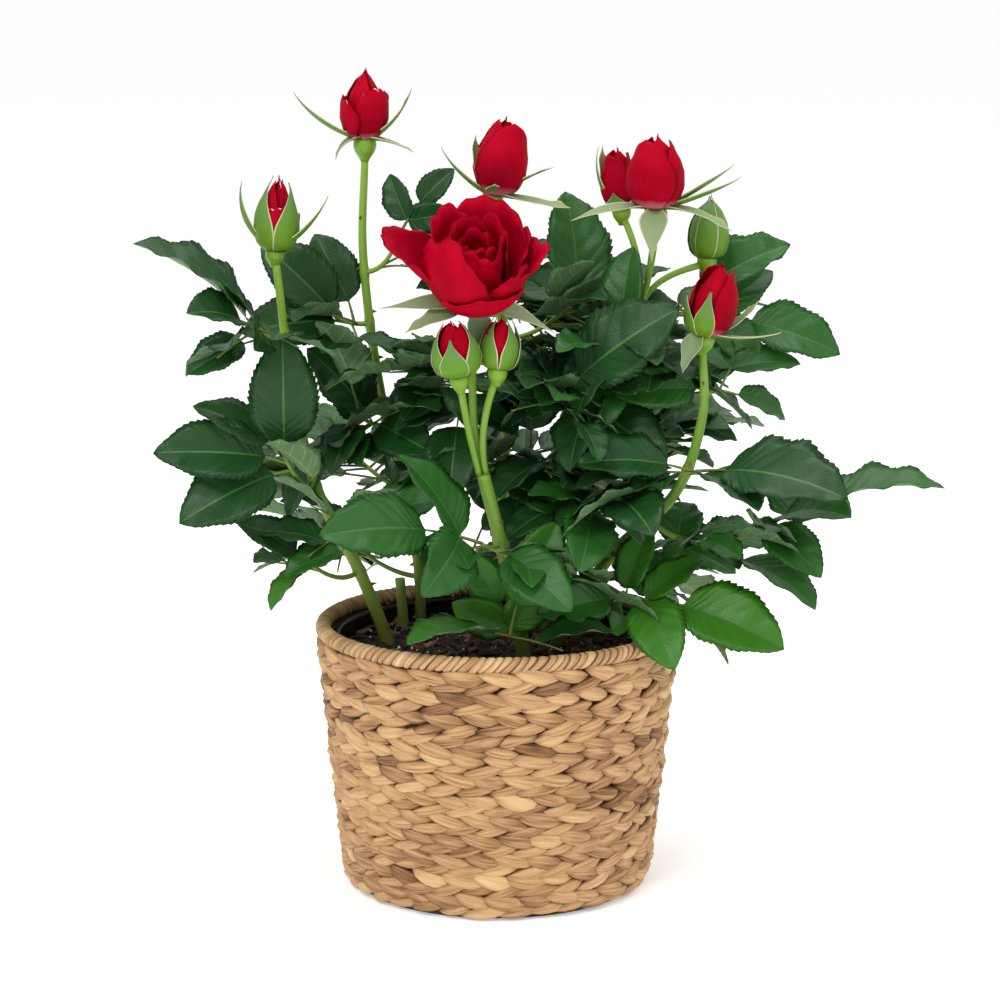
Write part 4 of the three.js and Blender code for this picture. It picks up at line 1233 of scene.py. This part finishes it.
def wrapped_sepal(work, place, size, hip, layer, azimuth, wide, reach, stand_off):
    """A sepal that hugs its bud, over or under its neighbours, and narrows to a point above it."""
    width, height = size
    x = SEPAL_COLUMNS
    t = np.linspace(0, 1, SEPAL_ROWS)[:, None]
    narrows, bends = (0.8, 0.75) if stand_off < 0 else (0.25, 0.4)
    spread = wide * (1 - 0.25 * t) * (1 - smooth(narrows, 1, t)) + 3
    turn = np.radians(azimuth + spread * x)
    radius = bud_girth(reach * t, width) + layer + stand_off * smooth(bends, 1, t) ** 2 + 0.3 * (1 - x ** 2)
    grid = polar(turn, radius, hip * 0.55 + reach * t * height)
    two_sided(work, place(grid), SHEET, sepal_slots(OUTSIDE), sepal_slots(INSIDE))


def calyx(work, place, name, size, hip):
    """The hip and its sepals."""
    draw = seeded(len(name) * 100 + int(size[0]))
    for azimuth, foot, lip, length, width in SEPALS.get(name, ()):
        sepal(work, place, flower_blade(azimuth, hip * 0.8, hip * 0.78, foot, lip, length), width, draw)
    for number, wrap in enumerate(WRAPPED_SEPALS.get(name, ())):
        wrapped_sepal(work, place, size, hip, 0.4 + 0.3 * number, *wrap)
    revolved(work, [(wide * hip, up * hip) for up, wide in HIP_GIRTH], 16, HIP, place)


def bud_girth(share, width):
    return np.interp(share, *GIRTH) * width / 2


def bud_petal(work, place, size, hip, azimuth, span, layer, top, flare, draw, frayed=0.0):
    """A petal that wraps part of the way round a bud: one side tucks under its neighbour."""
    width, height = size
    rows, columns = 18, 17
    _, u = grid_shares(rows, columns)
    v = np.append(np.linspace(0, 0.98, rows - 1), 1)[:, None]    # the last row is a narrow edge
    phase, second_phase = phases(draw, 2)
    waves = 0.012 * np.sin(5 * u + phase) + 0.008 * np.sin(11 * u + second_phase)
    reach = top * (1 - 0.13 * np.abs(u) ** 2.4 + waves)
    if frayed:
        reach = reach * (1 - frayed * np.abs(np.sin(9 * u + phase)) ** 3)
    up = reach * v
    turn = np.radians(azimuth + span * u * (0.55 + 0.45 * np.sin(math.pi * np.clip(v * 0.8 + 0.12, 0, 1))))
    radius = bud_girth(up, width) - layer + 0.5 * u * (0.4 + v)
    radius = radius + flare * smooth(0.72, 1.0, v) ** 2 * (1 + 0.4 * np.sin(3 * u + second_phase))
    grid = polar(turn, np.maximum(radius, 0.4), hip * 0.7 + up * height)
    slots = np.full((rows - 1, columns - 1), PETAL_RED)
    if frayed:
        slots[-1, [draw() < 0.4 for _ in range(columns - 1)]] = PALE_EDGE
    two_sided(work, place(grid), SHEET, slots.ravel(), slots.ravel(), draw())


def bud(work, place, size, hip, seed, open_share, frayed=False):
    """Petals wound round each other, tighter towards the middle."""
    draw = seeded(seed)
    first = 360 * draw()
    for k in range(BUD_LAYERS):
        depth = k / (BUD_LAYERS - 1)
        torn = frayed and k < 2
        top = 0.62 + 0.1 * k if torn else 0.90 + 0.1 * depth + 0.03 * (draw() - 0.5)
        span, layer = 84 - 22 * depth, 0.1 + 0.3 * depth * size[0]
        flare = 2.2 * open_share * (1 - depth)
        bud_petal(work, place, size, hip, first + GOLDEN_ANGLE * k, span, layer, top, flare, draw,
                  FRAY if torn else 0.0)


def open_petal(work, place, hip, petal, draw):
    """A broad petal of the open rose: cupped, with a frilled lip that rolls back."""
    azimuth, foot, lip, length, width = petal
    blade = flower_blade(azimuth, hip * 0.5, hip * 0.7, foot, lip, length)
    v, u = grid_shares(22, 21)
    phase, second_phase = phases(draw, 2)
    lobe = 1 - 0.20 * np.abs(u) ** 2.6 + 0.05 * np.exp(-(u / 0.25) ** 2)
    lobe = lobe + 0.026 * np.sin(7 * u + phase) + 0.016 * np.sin(15 * u + second_phase)
    t = v * lobe
    half = width / 2 * np.sin(math.pi * np.clip(0.12 + 0.52 * v ** 0.85, 0, 1)) ** 1.1 + 0 * u
    point, upper = blade.middle(t)
    cup = 0.22 * width * u ** 2 * smooth(0.05, 0.5, v)
    frill = 0.022 * width * smooth(0.55, 1, v) * np.sin(9 * u + second_phase) * np.abs(u) ** 0.5
    roll = -0.06 * length * smooth(0.86, 1.0, v) ** 2
    side = u * half * (1 - 0.12 * u ** 2)
    grid = point + blade.across * side[..., None] + upper * (cup + frill + roll)[..., None]
    two_sided(work, place(grid), SHEET, PETAL_RED, PETAL_RED, draw())


def blooms(limbs, petal_looks, calyx_looks):
    red, green = Patchwork(petal_looks), Patchwork(calyx_looks)
    for number, (name, (stalk, axis, size, hip, opened)) in enumerate(BLOOMS.items()):
        place = BloomFrame(limbs, stalk, axis, hip)
        calyx(green, place, name, size, hip)
        petals = green if name == "green_bud" else red    # green petals take the sepals' outer look
        bud(petals, place, size, hip, BUD_SEED + number, opened, name in FRAYED)
        if name == "open_rose":
            draw = seeded(ROSE_SEED)
            for petal in [*INNER_PETALS, *OUTER_PETALS]:
                open_petal(red, place, hip, petal, draw)
    red_blooms = [name for name in BLOOMS if name != "green_bud"]
    red.piece("petals", "petal", *red_blooms)
    green.piece("calyces", "calyx", "green_bud")


# ---- The whole bush ----

limbs = cane_lines()
bark = stem_look()
canes(limbs, [bark, look("prickle", "7a4a2a", 0.5)])
sprays = Sprays(limbs, leaf_looks(), [bark, look("leafstalk", "6b7a35", 0.5)])
for name, spray in SPRAYS.items():
    sprays.grow(name, spray)
for number, (work, nodes) in enumerate(sprays.leaves, 1):
    work.piece(f"leaves_{number}", "leaf", *nodes)
sprays.twigs.piece("twigs", "stem", *(f"{name}_leaves" for name in SPRAYS))
blooms(limbs, [petal_look(), look("petal_edge", "e9c9b8", 0.7)], [
    sepal_look(), look("sepal_inside", "87996c", 0.7), look("sepal_margin", "c3c49c", 0.8),
    look("hip", "74a021", 0.35)])

straw = straw_look()
basket(straw, look("basket_shadow", "3a2716", 0.9))
rim(straw)
nursery_pot(look("black_plastic", "121315", 0.38))
compost({
    "crumbs": compost_look("crumbs", 0.8, (0.0, "0f0907"), (0.5, "241710"), (1.0, "4f3828")),
    "bark": compost_look("bark", 0.7, (0.0, "1a100c"), (0.45, "3a251a"), (0.75, "6b4936"), (1.0, "b39378")),
    "fibre": compost_look("fibre", 0.8, (0.0, "3a2415"), (0.6, "7b5a3c"), (1.0, "b89a74")),
    "grit": look("grit", "d8d2c6", 0.7)})

# ---- Floor, light and camera ----

LAMPS = {"key": ((-0.7, -1.4, 1.6), 0.9, 17), "fill": ((1.3, -0.9, 0.9), 1.2, 4),
         "top": ((0.1, 0.3, 1.8), 1.2, 12)}    # place, size, power
LIT_POINT = Vector((0, 0, 0.18))
DAYLIGHT = 0.68
FLOOR_SIZE, FLOOR_GLOW = 60, 0.36
EYE, EYE_PITCH, EYE_LENS = (0.0013, -1.392, 0.436), 79.23, 116.2


def studio():
    bpy.ops.mesh.primitive_plane_add(size=FLOOR_SIZE)
    floor = bpy.context.object
    floor.name = "floor"
    floor.data.materials.append(look("floor", "f6f6f6", 0.9, shine=0.0, **{
        "Emission Color": (1, 1, 1, 1), "Emission Strength": FLOOR_GLOW}))
    world = bpy.data.worlds.new("daylight")
    world.use_nodes = True
    background = world.node_tree.nodes["Background"].inputs
    background["Color"].default_value, background["Strength"].default_value = (1, 1, 1, 1), DAYLIGHT
    bpy.context.scene.world = world
    for name, (place, size, power) in LAMPS.items():
        lamp = bpy.data.lights.new(name, "AREA")
        lamp.size, lamp.energy = size, power
        source = bpy.data.objects.new(name, lamp)
        source.location = place
        source.rotation_euler = (LIT_POINT - Vector(place)).to_track_quat("-Z", "Y").to_euler()
        bpy.context.scene.collection.objects.link(source)


def camera():
    data = bpy.data.cameras.new("camera")
    data.lens, data.sensor_width = EYE_LENS, 36
    eye = bpy.data.objects.new("camera", data)
    eye.location, eye.rotation_euler = EYE, (math.radians(EYE_PITCH), 0, 0)
    bpy.context.scene.collection.objects.link(eye)
    bpy.context.scene.camera = eye


studio()
camera()
bpy.context.scene.view_settings.view_transform = "Standard"
